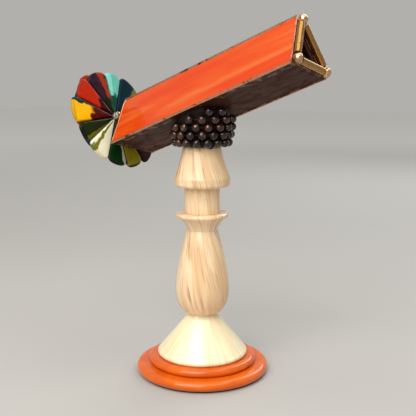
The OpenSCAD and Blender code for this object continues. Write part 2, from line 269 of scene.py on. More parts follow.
def rounded(corners: list[Pair], radii: list[float] | float, step: float, arc_points: int = 6) -> np.ndarray:
    """A closed outline with rounded corners and evenly cut sides.

    Each corner is a quadratic curve between the points its radius back along both sides.

    Args:
        corners: the outline's corners, in order.
        radii: a distance back from each corner, or one for all.
        step: longest side between neighbouring points.
        arc_points: points on a rounded corner.

    Returns:
        An (n, 2) array of points.
    """
    most, sharp = 0.48, 1e-7
    pts = np.array(corners, float)
    back = np.broadcast_to(np.asarray(radii, float), (len(pts),))
    t = np.linspace(0, 1, arc_points)[:, None]
    out = []
    for k, here in enumerate(pts):
        to_b, to_a = pts[k - 1] - here, pts[(k + 1) % len(pts)] - here
        lb, la = np.linalg.norm(to_b), np.linalg.norm(to_a)
        r = min(back[k], most * lb, most * la)
        if r < sharp:
            out.append(here[None])
            continue
        p, q = here + to_b / lb * r, here + to_a / la * r
        out.append((1 - t) ** 2 * p + 2 * t * (1 - t) * here + t**2 * q)
    line = np.concatenate(out)
    sides = zip(line, np.roll(line, -1, axis=0))
    return np.concatenate([stepped(p, q, max(1, math.ceil(np.linalg.norm(q - p) / step))) for p, q in sides])


def lathe(profile: np.ndarray, around: int, uneven: float = 0.0, seed: int = 0, closed: bool = True) -> Shell:
    """A turned shell: each (radius, height) of the profile carried round the Z axis.

    Args:
        profile: (n, 2) outline of the section.
        around: points round the axis.
        uneven: size of a slow unevenness of the radius.
        seed: fixes the unevenness.
        closed: True for an outline that closes on itself, False for one with capped ends.

    Returns:
        The shell.
    """
    pitch = 12 * MM
    a = circle(around)[None, :]
    r, z = profile[:, :1], profile[:, 1:]
    r = r + uneven * waves(seed, 5, a, z / pitch, low=1, high=3) * np.clip(r / pitch - 0.5, 0, 1)
    return Shell.rings(polar(r, a, z), closed)


def tube_along(path: np.ndarray, radius: float | np.ndarray, closed: bool, sides: int) -> Shell:
    """A round section carried along a path, its frame kept upright to the path.

    Args:
        path: (n, 3) points.
        radius: one radius, or one for each point.
        closed: whether the path joins its own start.
        sides: points round the section.

    Returns:
        The shell.
    """
    steep = 0.9
    ahead = np.roll(path, -1, axis=0) - np.roll(path, 1, axis=0)
    if not closed:
        ahead[0], ahead[-1] = path[1] - path[0], path[-1] - path[-2]
    ahead /= np.linalg.norm(ahead, axis=1, keepdims=True)
    guide = np.array([0.0, 0.0, 1.0]) if abs(ahead[:, 2]).max() < steep else np.array([0.0, 1.0, 0.0])
    side = np.cross(ahead, guide)
    side /= np.linalg.norm(side, axis=1, keepdims=True)
    up = np.cross(side, ahead)
    a = circle(sides)[None, :, None]
    rad = np.broadcast_to(np.asarray(radius, float), (len(path),))[:, None, None]
    return Shell.rings(path[:, None] + rad * (np.cos(a) * side[:, None] + np.sin(a) * up[:, None]), closed)


def lump_ball(centre: np.ndarray, radius: float, seed: int, uneven: float = 0.05, flat: float = 1.0) -> Shell:
    """A ball with a slowly uneven surface: the radius is a wave of longitude and height.

    Args:
        centre: its middle.
        radius: its mean radius.
        seed: fixes the unevenness.
        uneven: its share of the radius.
        flat: height as a share of width.

    Returns:
        The shell.
    """
    a = circle(32)[None, :]
    b = np.linspace(-0.48 * math.pi, 0.48 * math.pi, 21)[:, None]
    r = radius * (1 + uneven * waves(seed, 5, a, 2.2 * b, low=1, high=2) * np.cos(b))
    return Shell.rings(polar(r * np.cos(b), a, flat * r * np.sin(b)) + centre, False)


# ---------------------------------------------------------------- frames of reference


@dataclass
class Axes:
    """A right-handed frame: an origin and three unit directions, in the row's frame."""

    origin: np.ndarray
    x: np.ndarray
    y: np.ndarray
    z: np.ndarray

    def place(self, local: np.ndarray) -> np.ndarray:
        """Points given in this frame, in the row's frame."""
        return self.origin + local[..., :1] * self.x + local[..., 1:2] * self.y + local[..., 2:3] * self.z


def corners_of(node: Piece) -> np.ndarray:
    """The distinct points of a frame node's mesh.

    Args:
        node: the frame node.

    Returns:
        An (n, 3) array of points, sorted.
    """
    co = np.zeros(len(node.data.vertices) * 3)
    node.data.vertices.foreach_get("co", co)
    return np.unique(np.round(co.reshape(-1, 3), 7), axis=0)


def reach(axes: Axes, node: Piece) -> Pair:
    """A frame node's nearest and farthest distance along a frame's z."""
    far = (corners_of(node) - axes.origin) @ axes.z
    return float(far.min()), float(far.max())


def wheel_joint(frame: dict) -> dict:
    return next(j for j in frame["joints"] if j["name"] == "near_wheel_spin")


@dataclass
class TubeAxes(Axes):
    """The tube's frame: x along it to the eyepiece, y to its back, z to its apex edge.

    The origin is the middle of the tube's section, halfway along its glass panels.
    """

    half: float = 0.0

    @staticmethod
    def from_frame(frame: dict) -> TubeAxes:
        """Reads the tube's place from its three panels and the wheels' axle.


        Returns:
            The tube's frame.
        """
        x = -np.array(wheel_joint(frame)["axis"], float)
        panels = [corners_of(frame["nodes"][n]) for n in ("front_panel", "back_panel", "bottom_panel")]
        origin = np.mean([p.mean(axis=0) for p in panels], axis=0)
        up = origin - panels[2].mean(axis=0)
        up -= x * (up @ x)
        z = up / np.linalg.norm(up)
        return TubeAxes(origin, x, np.cross(z, x), z, float(np.abs((panels[0] - origin) @ x).max()))


def axle_axes(frame: dict, tube: TubeAxes) -> Axes:
    """The axle's frame: z outwards from the tube's object end, x to its front, y up.

    Args:
        tube: the tube's frame.

    Returns:
        The frame, its origin where the axle leaves the end plate.
    """
    point = np.array(wheel_joint(frame)["pos_m"], float)
    face = float(((corners_of(frame["nodes"]["object_frame"]) - tube.origin) @ tube.x).min())
    origin = point + tube.x * (face - float((point - tube.origin) @ tube.x))
    return Axes(origin, -tube.y, tube.z, -tube.x)


# ---------------------------------------------------------------- shader building


class Tree:
    """Short calls that add nodes to a material or to a node group."""

    def __init__(self, tree: bpy.types.NodeTree) -> None:
        """Starts on a tree."""
        self.tree = tree

    def add(self, kind: str, **values: object) -> bpy.types.Node:
        """A node with some of its properties set.

        Args:
            kind: the node's full type.
            values: the properties.

        Returns:
            The node.
        """
        node = self.tree.nodes.new(kind)
        for key, value in values.items():
            setattr(node, key, value)
        return node

    def feed(self, socket: Socket, value: object) -> None:
        """Links an output to an input, or sets the input's own value.

        Args:
            socket: the input.
            value: an output, a number, a vector or a colour.
        """
        if isinstance(value, bpy.types.NodeSocket):
            self.tree.links.new(value, socket)
        elif isinstance(value, (tuple, list)) and len(value) == 3 and socket.type == "RGBA":
            socket.default_value = (*value, 1.0)
        else:
            socket.default_value = value

    def wire(self, kind: str, feeds: dict, out: str | int = 0, **values: object) -> Socket:
        """Adds a shader node, fills its inputs and gives one of its outputs.

        Args:
            kind: the node's type, without ShaderNode in front.
            feeds: what goes into each input, by the input's name or number.
            out: the output's name or number.
            values: the node's properties.

        Returns:
            The output.
        """
        node = self.add("ShaderNode" + kind, **values)
        for key, value in feeds.items():
            self.feed(node.inputs[key], value)
        return node.outputs[out]

    def vector(self, operation: str, a: object, b: object = (0.0, 0.0, 0.0), out: str | int = 0) -> Socket:
        """One sum with vectors."""
        return self.wire("VectorMath", {0: a, 1: b}, out, operation=operation)

    def place(self) -> Socket:
        """Object coordinates."""
        return self.wire("TexCoord", {}, "Object")

    def scaled(self, vector: Socket, scale: object) -> Socket:
        """A vector times a scale for each axis."""
        return self.vector("MULTIPLY", vector, scale)

    def parts(self, vector: Socket) -> bpy.types.bpy_prop_collection:
        """A vector's three coordinates.

        Args:
            vector: the vector.

        Returns:
            The three outputs.
        """
        node = self.add("ShaderNodeSeparateXYZ")
        self.feed(node.inputs[0], vector)
        return node.outputs

    def turned(self, vector: Socket, axes: Axes) -> Socket:
        """A vector measured from another frame's origin along its three directions.

        Args:
            vector: the vector.
            axes: the frame.

        Returns:
            The new vector.
        """
        shift = self.vector("SUBTRACT", vector, tuple(axes.origin))
        ways = (axes.x, axes.y, axes.z)
        return self.wire("CombineXYZ", {k: self.vector("DOT_PRODUCT", shift, tuple(way), "Value")
                                        for k, way in enumerate(ways)})

    def wound(self, vector: Socket, twist: float) -> Socket:
        """Coordinates round the Z axis: a unit direction that turns with height, and the height.

        Args:
            vector: the vector.
            twist: how fast the direction turns, in radians a metre.

        Returns:
            The new vector.
        """
        flat = self.vector("NORMALIZE", self.scaled(vector, (1.0, 1.0, 0.0)))
        angle = self.math("MULTIPLY", self.parts(vector)[2], twist)
        turn = self.wire("VectorRotate", {"Vector": flat, "Angle": angle}, rotation_type="Z_AXIS")
        return self.vector("ADD", turn, self.scaled(vector, (0.0, 0.0, 1.0)))

    def noise(self, vector: Socket, scale: object, detail: float = 3.0, warp: object = 0.0,
              rough: float = 0.5) -> Socket:
        """Noise from 0 to 1."""
        return self.wire("TexNoise", {"Vector": vector, "Scale": scale, "Detail": detail, "Roughness": rough,
                                      "Distortion": warp}, "Fac")

    def math(self, operation: str, a: object, b: object = 0.0, clamp: bool = False) -> Socket:
        """One sum."""
        return self.wire("Math", {0: a, 1: b}, operation=operation, use_clamp=clamp)

    def between(self, value: object, low: object, high: object, a: object = 0.0, b: object = 1.0) -> Socket:
        """A smooth step: a below low, b above high."""
        return self.wire("MapRange", dict(enumerate((value, low, high, a, b))), "Result",
                         interpolation_type="SMOOTHSTEP")

    def mix(self, factor: object, a: object, b: object) -> Socket:
        """A colour between a and b."""
        return self.wire("Mix", {0: factor, 6: a, 7: b}, 2, data_type="RGBA")

    def bump(self, height: Socket, strength: float, depth: float) -> Socket:
        """A normal from a height."""
        return self.wire("Bump", {"Strength": strength, "Distance": depth, "Height": height}, "Normal")

    def effect(self, group: bpy.types.NodeTree, **values: object) -> bpy.types.bpy_prop_collection:
        """Adds a shared effect.

        Args:
            group: the effect.
            values: its inputs. An underline in a name stands for a space.

        Returns:
            Its outputs.
        """
        node = self.add("ShaderNodeGroup", node_tree=group)
        for key, value in values.items():
            self.feed(node.inputs[key.replace("_", " ")], value)
        return node.outputs


class Group(Tree):
    """A shared effect: a node group with named inputs and outputs."""

    WHITE = (1.0, 1.0, 1.0, 1.0)
    KINDS = {1: "Float", 3: "Vector", 4: "Color"}

    def __init__(self, name: str, inputs: dict[str, object], outputs: str) -> None:
        """Makes the group, its Vector input and its other sockets.

        Args:
            name: the group's name.
            inputs: each other input's first value: a number, a vector or a colour with its alpha.
            outputs: the outputs' names. One called Color holds a colour, any other a number.
        """
        super().__init__(bpy.data.node_groups.new(name, "ShaderNodeTree"))
        for key, value in {"Vector": (0.0, 0.0, 0.0), **inputs}.items():
            kind = "NodeSocket" + self.KINDS[np.size(value)]
            self.tree.interface.new_socket(key, in_out="INPUT", socket_type=kind).default_value = value
        for key in outputs.split():
            kind = "NodeSocket" + ("Color" if key == "Color" else "Float")
            self.tree.interface.new_socket(key, in_out="OUTPUT", socket_type=kind)
        self.inside = self.add("NodeGroupInput").outputs
        self.out = self.add("NodeGroupOutput").inputs


class Effects:
    """The effects that several finishes share, each built once."""

    def __init__(self) -> None:
        """Builds the groups."""
        self.streaks = self._streaks()
        self.patina = self._patina()
        self.wipe = self._wipe()
        self.melt = self._melt()

    @staticmethod
    def _streaks() -> bpy.types.NodeTree:
        """Drawn-out streaks: broad bands, with fine threads inside them.

        Returns:
            The group.
        """
        g = Group("drawn_streaks", {"Stretch": (1.0, 1.0, 1.0), "Warp": 1.0}, "Bands Threads Clouds")
        v = g.scaled(g.inside["Vector"], g.inside["Stretch"])
        g.feed(g.out["Bands"], g.between(g.noise(v, 1.0, 3.0, g.inside["Warp"]), 0.3, 0.7))
        fine = g.noise(g.scaled(v, (3.1, 3.1, 3.1)), 1.3, 5.0, g.inside["Warp"], 0.65)
        g.feed(g.out["Threads"], g.between(fine, 0.35, 0.65))
        g.feed(g.out["Clouds"], g.between(g.noise(g.inside["Vector"], 35.0, 2.0), 0.3, 0.7))
        return g.tree

    @staticmethod
    def _patina() -> bpy.types.NodeTree:
        """Worn patina: patches where the metal shows, small pits, and a height for both.

        Returns:
            The group.
        """
        g = Group("worn_patina", {"Size": 200.0, "Wear": 0.5}, "Bare Pits Height")
        v, size = g.inside["Vector"], g.inside["Size"]
        patch = g.noise(v, size, 6.0, 0.6, 0.62)
        edge = g.math("SUBTRACT", 0.85, g.math("MULTIPLY", g.inside["Wear"], 0.5))
        g.feed(g.out["Bare"], g.between(patch, g.math("SUBTRACT", edge, 0.12), edge))
        pits = g.between(g.noise(v, g.math("MULTIPLY", size, 6.0), 2.0), 0.28, 0.42, 1.0, 0.0)
        g.feed(g.out["Pits"], pits)
        lumps = g.noise(v, g.math("MULTIPLY", size, 1.7), 3.0)
        g.feed(g.out["Height"], g.math("SUBTRACT", lumps, g.math("MULTIPLY", pits, 0.25)))
        return g.tree

    @staticmethod
    def _wipe() -> bpy.types.NodeTree:
        """Handling marks: a roughness between Low and High in soft smears and specks of dust.

        Returns:
            The group.
        """
        g = Group("wiped_gloss", {"Low": 0.05, "High": 0.25}, "Roughness Dust")
        v = g.inside["Vector"]
        smear = g.between(g.noise(g.scaled(v, (1.0, 1.6, 0.7)), 55.0, 5.0, 1.2, 0.6), 0.42, 0.72)
        dust = g.between(g.noise(v, 900.0, 2.0), 0.68, 0.76)
        g.feed(g.out["Dust"], dust)
        part = g.math("ADD", g.math("MULTIPLY", smear, 0.8), g.math("MULTIPLY", dust, 0.5), clamp=True)
        span = g.math("SUBTRACT", g.inside["High"], g.inside["Low"])
        g.feed(g.out["Roughness"], g.math("ADD", g.inside["Low"], g.math("MULTIPLY", part, span)))
        return g.tree

    @staticmethod
    def _melt() -> bpy.types.NodeTree:
        """Fused glass: an inner and an outer colour, a band between them and a dark painted shade along the
        edges, run together.

        Grain's first coordinate runs from the hub (0) to the tip (1), its second across the petal.

        Returns:
            The group.
        """
        # painted shade: a near-black laid along each petal's tip and sides, standing in for the shadowed gaps
        # between petals
        dark_rim = (0.006, 0.007, 0.005)
        g = Group("melted_glass", {
            "Grain": (0.0, 0.0, 0.0), "Outer": Group.WHITE, "Inner": Group.WHITE, "Band": Group.WHITE,
            "Streak": Group.WHITE, "Inner Reach": 0.3, "Band From": 2.0, "Band To": 3.0, "Streaking": 0.4,
            "Rim": 0.0}, "Color Height")
        v, grain = g.inside["Vector"], g.inside["Grain"]
        outward, sideways = g.parts(grain)[:2]
        flow = g.math("MULTIPLY", g.math("SUBTRACT", g.noise(v, 95.0, 3.0, 0.8), 0.5), 0.45)
        along, across = g.math("ADD", outward, flow), g.math("ADD", sideways, flow)
        thread = g.noise(g.scaled(grain, (2.2, 9.0, 1.0)), 1.4, 4.0, 1.6, 0.6)
        thread = g.math("MULTIPLY", g.between(thread, 0.42, 0.62), g.inside["Streaking"])
        color = g.mix(thread, g.inside["Outer"], g.inside["Streak"])
        start, stop, hub = g.inside["Band From"], g.inside["Band To"], g.inside["Inner Reach"]
        band = g.math("MULTIPLY", g.between(across, g.math("SUBTRACT", start, 0.05), start),
                      g.between(across, stop, g.math("ADD", stop, 0.05), 1.0, 0.0))
        color = g.mix(band, color, g.inside["Band"])
        inner = g.between(along, g.math("SUBTRACT", hub, 0.08), hub, 1.0, 0.0)
        color = g.mix(inner, color, g.inside["Inner"])
        side = g.math("ABSOLUTE", g.math("SUBTRACT", sideways, 0.5))
        # where the painted shade falls: near the tip and near both sides, scaled by the petal's edge-shade
        # strength
        rim = g.math("MAXIMUM", g.between(outward, 0.945, 0.975), g.between(side, 0.44, 0.475))
        g.feed(g.out["Color"], g.mix(g.math("MULTIPLY", rim, g.inside["Rim"]), color, dark_rim))
        g.feed(g.out["Height"], g.noise(v, 260.0, 2.0))
        return g.tree


# ---------------------------------------------------------------- finishes


@dataclass(frozen=True)
class Gloss:
    """The plain numbers of a surface, set on the shader's own sockets."""

    metallic: float = 0.0
    roughness: float = 0.3
    specular: float = 0.5
    coat: float = 0.0
    coat_roughness: float = 0.03
    subsurface: float = 0.0
    depth: float = 0.004
    transmission: float = 0.0
    sheen: float = 0.0


GLOSS_SOCKETS = {
    "Metallic": "metallic", "Roughness": "roughness", "Specular IOR Level": "specular", "Coat Weight": "coat",
    "Coat Roughness": "coat_roughness", "Subsurface Weight": "subsurface", "Subsurface Scale": "depth",
    "Transmission Weight": "transmission", "Sheen Weight": "sheen",
}


class Finish(Tree):
    """One material: a Principled shader whose colour, roughness and normal come from nodes."""

    def __init__(self, name: str, gloss: Gloss) -> None:
        """Makes the material with its shader.

        Args:
            name: the material's name.
            gloss: its plain numbers.
        """
        self.material = bpy.data.materials.new(name)
        self.material.use_nodes = True
        super().__init__(self.material.node_tree)
        self.shader = self.tree.nodes["Principled BSDF"].inputs
        for socket, number in GLOSS_SOCKETS.items():
            self.shader[socket].default_value = getattr(gloss, number)
        self.here = self.place()

    def done(self, color: object, roughness: object = None, normal: object = None) -> Material:
        """Links what drives the surface.

        Args:
            color: its colour.
            roughness: its roughness, or None for the plain number.
            normal: its normal, or None for the mesh's own.

        Returns:
            The material.
        """
        for socket, value in (("Base Color", color), ("Roughness", roughness), ("Normal", normal)):
            if value is not None:
                self.feed(self.shader[socket], value)
        return self.material


@dataclass(frozen=True)
class Look:
    """A finish, with the record's material slot that it is for."""

    slot: str
    finish: Material


@dataclass(frozen=True)
class Glass:
    """One fused petal's colours: the tip, the hub end, its streaks, a band across from side to side, and the
    strength of the painted shade on its edges.
    """

    outer: Color
    inner: Color
    streak: Color
    band: Color = (0.0, 0.0, 0.0)
    inner_reach: float = 0.3
    band_from: float = 3.0
    band_to: float = 4.0
    streaking: float = 0.4
    # rim: how strongly the painted shade darkens the petal's tip and sides
    rim: float = 0.45


class Hue(Enum):
    """The glasses that the wheels are made of."""

    BLUE = Glass((0.001, 0.014, 0.027), (0.001, 0.01, 0.012), (0.002, 0.022, 0.045), (0.13, 0.13, 0.01),
                 0.25, 0.74, 2.0)
    COBALT = Glass((0.004, 0.025, 0.11), (0.005, 0.04, 0.06), (0.01, 0.08, 0.2))
    TURQUOISE = Glass((0.13, 0.5, 0.4), (0.003, 0.05, 0.03), (0.04, 0.26, 0.2), (0.2, 0.6, 0.5),
                      0.52, 0.1, 0.35)
    PLUM = Glass((0.017, 0.006, 0.012), (0.003, 0.011, 0.004), (0.085, 0.022, 0.05), (0.3, 0.03, 0.008),
                 0.45, 0.6, 0.85)
    SMOKE = Glass((0.02, 0.013, 0.022), (0.006, 0.008, 0.006), (0.07, 0.02, 0.035), (0.01, 0.04, 0.01),
                  0.45, -1.0, 0.2)
    RED = Glass((0.4, 0.014, 0.001), (0.03, 0.002, 0.001), (0.48, 0.035, 0.002), inner_reach=0.5,
                streaking=0.5)
    WINE = Glass((0.022, 0.002, 0.002), (0.01, 0.001, 0.001), (0.07, 0.004, 0.003))
    ORANGE = Glass((0.6, 0.08, 0.004), (0.2, 0.013, 0.002), (0.7, 0.2, 0.01))
    YELLOW = Glass((0.85, 0.45, 0.002), (0.06, 0.003, 0.002), (0.85, 0.5, 0.01), (0.003, 0.035, 0.03),
                   0.62, 0.84, 2.0, 0.3)
    AMBER = Glass((0.22, 0.18, 0.005), (0.04, 0.04, 0.003), (0.38, 0.31, 0.025), inner_reach=0.4,
                  streaking=0.6, rim=1.0)
    GREEN = Glass((0.001, 0.014, 0.002), (0.001, 0.006, 0.002), (0.002, 0.034, 0.004), (0.1, 0.12, 0.005),
                  0.3, -1.0, 0.2, 0.4, 1.0)
    MOSS = Glass((0.002, 0.024, 0.004), (0.025, 0.014, 0.004), (0.01, 0.06, 0.01), (0.5, 0.52, 0.4),
                 0.35, -1.0, 0.2, 0.5, 0.8)
    CREAM = Glass((0.82, 0.78, 0.56), (0.42, 0.42, 0.2), (0.9, 0.87, 0.72), (0.15, 0.17, 0.02),
                  0.2, 0.68, 0.85, 0.5, 0.2)


class Palette:
    """Every finish of the object. A Look goes on new pieces, a plain material on frame nodes only."""

    def __init__(self, tube: TubeAxes) -> None:
        """Mixes the finishes.

        Args:
            tube: the tube's frame, along which its glass is streaked.
        """
        self.fx = Effects()
        self.tube = tube
        self.stone = Look("banded_stone", self.banded_stone(
            "peach_stone", (0.76, 0.51, 0.28), (0.88, 0.69, 0.45), 9.0, 0.85))
        self.pale_stone = Look("banded_stone", self.banded_stone(
            "cream_stone", (0.84, 0.7, 0.42), (0.92, 0.84, 0.58), 0.0, 0.2))
        self.base_glass = Look("orange_glass_base", self.orange_enamel())
        self.opal = Look("orange_glass", self.opal_glass(
            "orange_opal", (0.58, 0.075, 0.005), (0.54, 0.04, 0.002), (0.58, 0.155, 0.035),
            Gloss(roughness=0.16, specular=0.15, coat=0.12, coat_roughness=0.05)))
        # The underside's brown glass: its colour is partly the glass's own brown and partly painted shade,
        # dark enough to keep the tube's underside dim under the floor's bounce light.
        self.brown = Look("brown_glass", self.opal_glass(
            "brown_opal", (0.065, 0.022, 0.011), (0.04, 0.013, 0.007), (0.095, 0.035, 0.018),
            Gloss(roughness=0.45, specular=0.05)))
        self.patina = Look("copper_foil", self.metal(
            "copper_patina", (0.1, 0.032, 0.014), (0.6, 0.3, 0.18), 0.9, 0.26, 90.0, 0.78))
        # A darker copy of the copper patina, with painted shade: it dresses the foil band and solder under
        # the tube, which lie in shade.
        self.under_patina = Look("copper_foil", self.metal(
            "under_patina", (0.03, 0.01, 0.005), (0.2, 0.075, 0.04), 0.3, 0.42, 130.0, 0.45))
        self.frame_metal = Look("copper_foil", self.metal(
            "frame_patina", (0.06, 0.022, 0.01), (0.26, 0.1, 0.045), 0.5, 0.34, 160.0, 0.45))
        self.dark_metal = Look("patina_drum", self.metal(
            "drum_patina", (0.012, 0.006, 0.005), (0.06, 0.027, 0.018), 0.3, 0.38, 300.0, 0.36))
        self.brass = Look("brass", self.metal(
            "aged_brass", (0.16, 0.065, 0.015), (0.4, 0.21, 0.055), 0.95, 0.22, 60.0, 1.0))
        self.solder = Look("solder", self.metal(
            "bright_solder", (0.22, 0.1, 0.045), (0.62, 0.39, 0.22), 0.95, 0.18, 110.0, 0.8))
        self.tin = Look("brass", self.metal(
            "tinned_hub", (0.4, 0.3, 0.2), (0.9, 0.82, 0.7), 0.8, 0.25, 100.0, 1.1))
        self.beads = Look("bead_metal", self.bead_finish())
        self.steel = self.metal("plated_steel", (0.3, 0.29, 0.26), (0.62, 0.6, 0.55), 0.9, 0.3, 120.0, 1.0)
        self.felt = Look("felt", self.clouded(
            "black_felt", Gloss(roughness=0.95, sheen=0.3), (0.008, 0.007, 0.006), (0.04, 0.036, 0.03),
            (2200.0, 4.0, 2.0), (0.6, 0.0004)))
        self.nylon = self.clouded(
            "natural_nylon", Gloss(roughness=0.45, subsurface=0.1), (0.62, 0.6, 0.52), (0.7, 0.68, 0.6),
            (400.0, 2.0), (0.1, 0.0002))
        clear, smoked = (0.9, 0.96, 0.94), (0.2, 0.32, 0.24)
        glass = Gloss(roughness=0.03, transmission=1.0)
        self.clear = self.wiped("clear_glass", glass, clear, tuple(0.88 * c for c in clear), 0.02, 0.1)
        self.smoked = self.wiped("smoked_glass", glass, smoked, tuple(0.88 * c for c in smoked), 0.02, 0.1)
        self.mirror = self.wiped("front_mirror_coat", Gloss(metallic=1.0, roughness=0.03),
                                 (0.86, 0.87, 0.88), (0.7, 0.7, 0.7), 0.015, 0.08)
        self.foam = self.clouded(
            "black_foam", Gloss(roughness=0.9), (0.01, 0.01, 0.01), (0.05, 0.05, 0.05), (1600.0, 2.0),
            (0.8, 0.0004))
        self.petals = {hue: self.fused(hue) for hue in Hue}

    def banded_stone(self, name: str, warm: Color, pale: Color, twist: float, veins: float) -> Material:
        """Polished stone: clouds of two creams, with long thin mineral streaks drawn up round it.

        Args:
            name: the material's name.
            warm: the darker cream.
            pale: the lighter cream.
            twist: how fast the streaks wind round with height, in radians a metre.
            veins: how strong the brown streaks are.

        Returns:
            The material.
        """
        vein, hair_line = (0.4, 0.18, 0.08), (0.5, 0.26, 0.13)
        f = Finish(name, Gloss(roughness=0.22, specular=0.4, coat=0.3, coat_roughness=0.06, subsurface=0.12,
                               depth=0.005))
        w = f.wound(f.here, twist)
        s = f.effect(self.fx.streaks, Vector=w, Stretch=(2.6, 2.6, 22.0), Warp=0.5)
        thin = f.between(f.noise(f.scaled(w, (9.0, 9.0, 20.0)), 1.0, 3.0, 0.25), 0.53, 0.66)
        patch = f.between(f.noise(f.scaled(w, (1.6, 1.6, 30.0)), 1.0, 2.0), 0.36, 0.6)
        thin = f.math("MULTIPLY", f.math("MULTIPLY", thin, patch), veins)
        hair = f.between(f.noise(f.scaled(w, (21.0, 21.0, 34.0)), 1.0, 3.0, 0.2), 0.5, 0.68)
        color = f.mix(thin, f.mix(s["Bands"], warm, pale), vein)
        color = f.mix(f.math("MULTIPLY", hair, 0.45 * veins), color, hair_line)
        wipe = f.effect(self.fx.wipe, Vector=f.here, Low=0.14, High=0.32)
        return f.done(color, wipe["Roughness"], f.bump(s["Threads"], 0.08, 0.0002))

    def orange_enamel(self) -> Material:
        """The base discs: glossy orange, with faint cloudy depth and specks of dust.

        Returns:
            The material.
        """
        f = Finish("orange_base_glass", Gloss(roughness=0.14, specular=0.25, coat=0.4, coat_roughness=0.04))
        s = f.effect(self.fx.streaks, Vector=f.here, Stretch=(28.0, 28.0, 60.0), Warp=1.2)
        color = f.mix(s["Bands"], (0.62, 0.1, 0.003), (0.74, 0.14, 0.006))
        color = f.mix(f.math("MULTIPLY", s["Threads"], 0.25), color, (0.55, 0.075, 0.003))
        wipe = f.effect(self.fx.wipe, Vector=f.here, Low=0.08, High=0.24)
        color = f.mix(f.math("MULTIPLY", wipe["Dust"], 0.25), color, (0.8, 0.5, 0.3))
        return f.done(color, wipe["Roughness"], f.bump(s["Clouds"], 0.08, 0.0006))

    def opal_glass(self, name: str, body: Color, deep: Color, milk: Color, gloss: Gloss) -> Material:
        """Rolled art glass: milky and deep streaks drawn along the tube, and a rippled face.

        Args:
            name: the material's name.
            body: its main colour.
            deep: the saturated streaks.
            milk: the pale streaks.
            gloss: its surface.

        Returns:
            The material.
        """
        f = Finish(name, gloss)
        v = f.turned(f.here, self.tube)
        s = f.effect(self.fx.streaks, Vector=v, Stretch=(9.0, 62.0, 62.0), Warp=0.7)
        milky = f.between(f.noise(f.scaled(v, (5.0, 46.0, 46.0)), 1.0, 4.0, 1.1, 0.6), 0.5, 0.7)
        color = f.mix(f.math("MULTIPLY", milky, 0.75), f.mix(s["Bands"], deep, body), milk)
        color = f.mix(f.math("MULTIPLY", s["Threads"], 0.18), color, deep)
        wipe = f.effect(self.fx.wipe, Vector=v, Low=gloss.roughness * 0.7, High=gloss.roughness * 1.9)
        ripple = f.noise(f.scaled(v, (60.0, 150.0, 150.0)), 1.0, 3.0, 0.4)
        return f.done(color, wipe["Roughness"], f.bump(ripple, 0.25, 0.0008))

    def metal(self, name: str, dark: Color, bare: Color, metallic: float, rough: float, size: float,
              wear: float) -> Material:
        """Metal under a patina that has worn through in patches.

        Args:
            name: the material's name.
            dark: the patina's colour.
            bare: the metal's colour.
            metallic: how far the whole reads as metal.
            rough: roughness of the bare metal.
            size: pitch of the patches, in waves a metre.
            wear: 0 for all patina, 1 for mostly bare.

        Returns:
            The material.
        """
        f = Finish(name, Gloss(metallic=metallic, specular=0.2, coat=0.06, coat_roughness=0.2))
        p = f.effect(self.fx.patina, Vector=f.here, Size=size, Wear=wear)
        color = f.mix(f.math("MULTIPLY", p["Pits"], 0.4), f.mix(p["Bare"], dark, bare),
                      tuple(0.6 * c for c in dark))
        roughness = f.between(p["Bare"], 0.0, 1.0, rough + 0.18, rough)
        return f.done(color, roughness, f.bump(p["Height"], 0.35, 0.0006))

    def bead_finish(self) -> Material:
        """The beads: near-black copper with a warm shine and a trace of worn metal.

        Returns:
            The material.
        """
        f = Finish("bead_patina", Gloss(metallic=0.6, roughness=0.22, coat=0.45, coat_roughness=0.1))
        p = f.effect(self.fx.patina, Vector=f.here, Size=330.0, Wear=0.36)
        hue = f.between(f.noise(f.here, 75.0, 1.0), 0.4, 0.6)
        dark = f.mix(hue, (0.012, 0.006, 0.007), (0.05, 0.018, 0.012))
        color = f.mix(f.math("MULTIPLY", p["Bare"], 0.6), dark, (0.3, 0.11, 0.07))
        return f.done(color, f.between(p["Height"], 0.2, 0.9, 0.16, 0.3), f.bump(p["Height"], 0.2, 0.0004))

    @staticmethod
    def clouded(name: str, gloss: Gloss, dark: Color, light: Color, grain: tuple, relief: Pair) -> Material:
        """Felt, nylon or foam: one noise that is both its tone and its relief.

        Args:
            name: the material's name.
            gloss: its surface.
            dark: its colour in the hollows.
            light: its colour on the heights.
            grain: the noise's scale, detail and, where it is matted, warp.
            relief: the bump's strength and depth.

        Returns:
            The material.
        """
        f = Finish(name, gloss)
        cloud = f.noise(f.here, *grain)
        return f.done(f.mix(cloud, dark, light), None, f.bump(cloud, *relief))

    def wiped(self, name: str, gloss: Gloss, clean: Color, dusty: Color, low: float, high: float) -> Material:
        """Clear glass or mirror with wiped faces.

        Args:
            name: the material's name.
            gloss: its surface.
            clean: its own colour.
            dusty: its colour under a speck of dust.
            low: roughness where it is clean.
            high: roughness in a smear.

        Returns:
            The material.
        """
        f = Finish(name, gloss)
        wipe = f.effect(self.fx.wipe, Vector=f.here, Low=low, High=high)
        return f.done(f.mix(wipe["Dust"], clean, dusty), wipe["Roughness"])

    def fused(self, hue: Hue) -> Material:
        """A petal's kiln-fused glass, from its colours.

        Args:
            hue: which glass.

        Returns:
            The material.
        """
        g = hue.value
        f = Finish("fused_" + hue.name.lower(),
                   Gloss(roughness=0.1, specular=0.06, coat=0.1, coat_roughness=0.03))
        grain = f.wire("UVMap", {}, "UV", uv_map="grain")
        m = f.effect(self.fx.melt, Vector=f.here, Grain=grain, Outer=g.outer, Inner=g.inner, Band=g.band,
                     Streak=g.streak, Inner_Reach=g.inner_reach, Band_From=g.band_from, Band_To=g.band_to,
                     Streaking=g.streaking, Rim=g.rim)
        wipe = f.effect(self.fx.wipe, Vector=f.here, Low=0.05, High=0.16)
        return f.done(m["Color"], wipe["Roughness"], f.bump(m["Height"], 0.12, 0.0008))


# ---------------------------------------------------------------- the pedestal


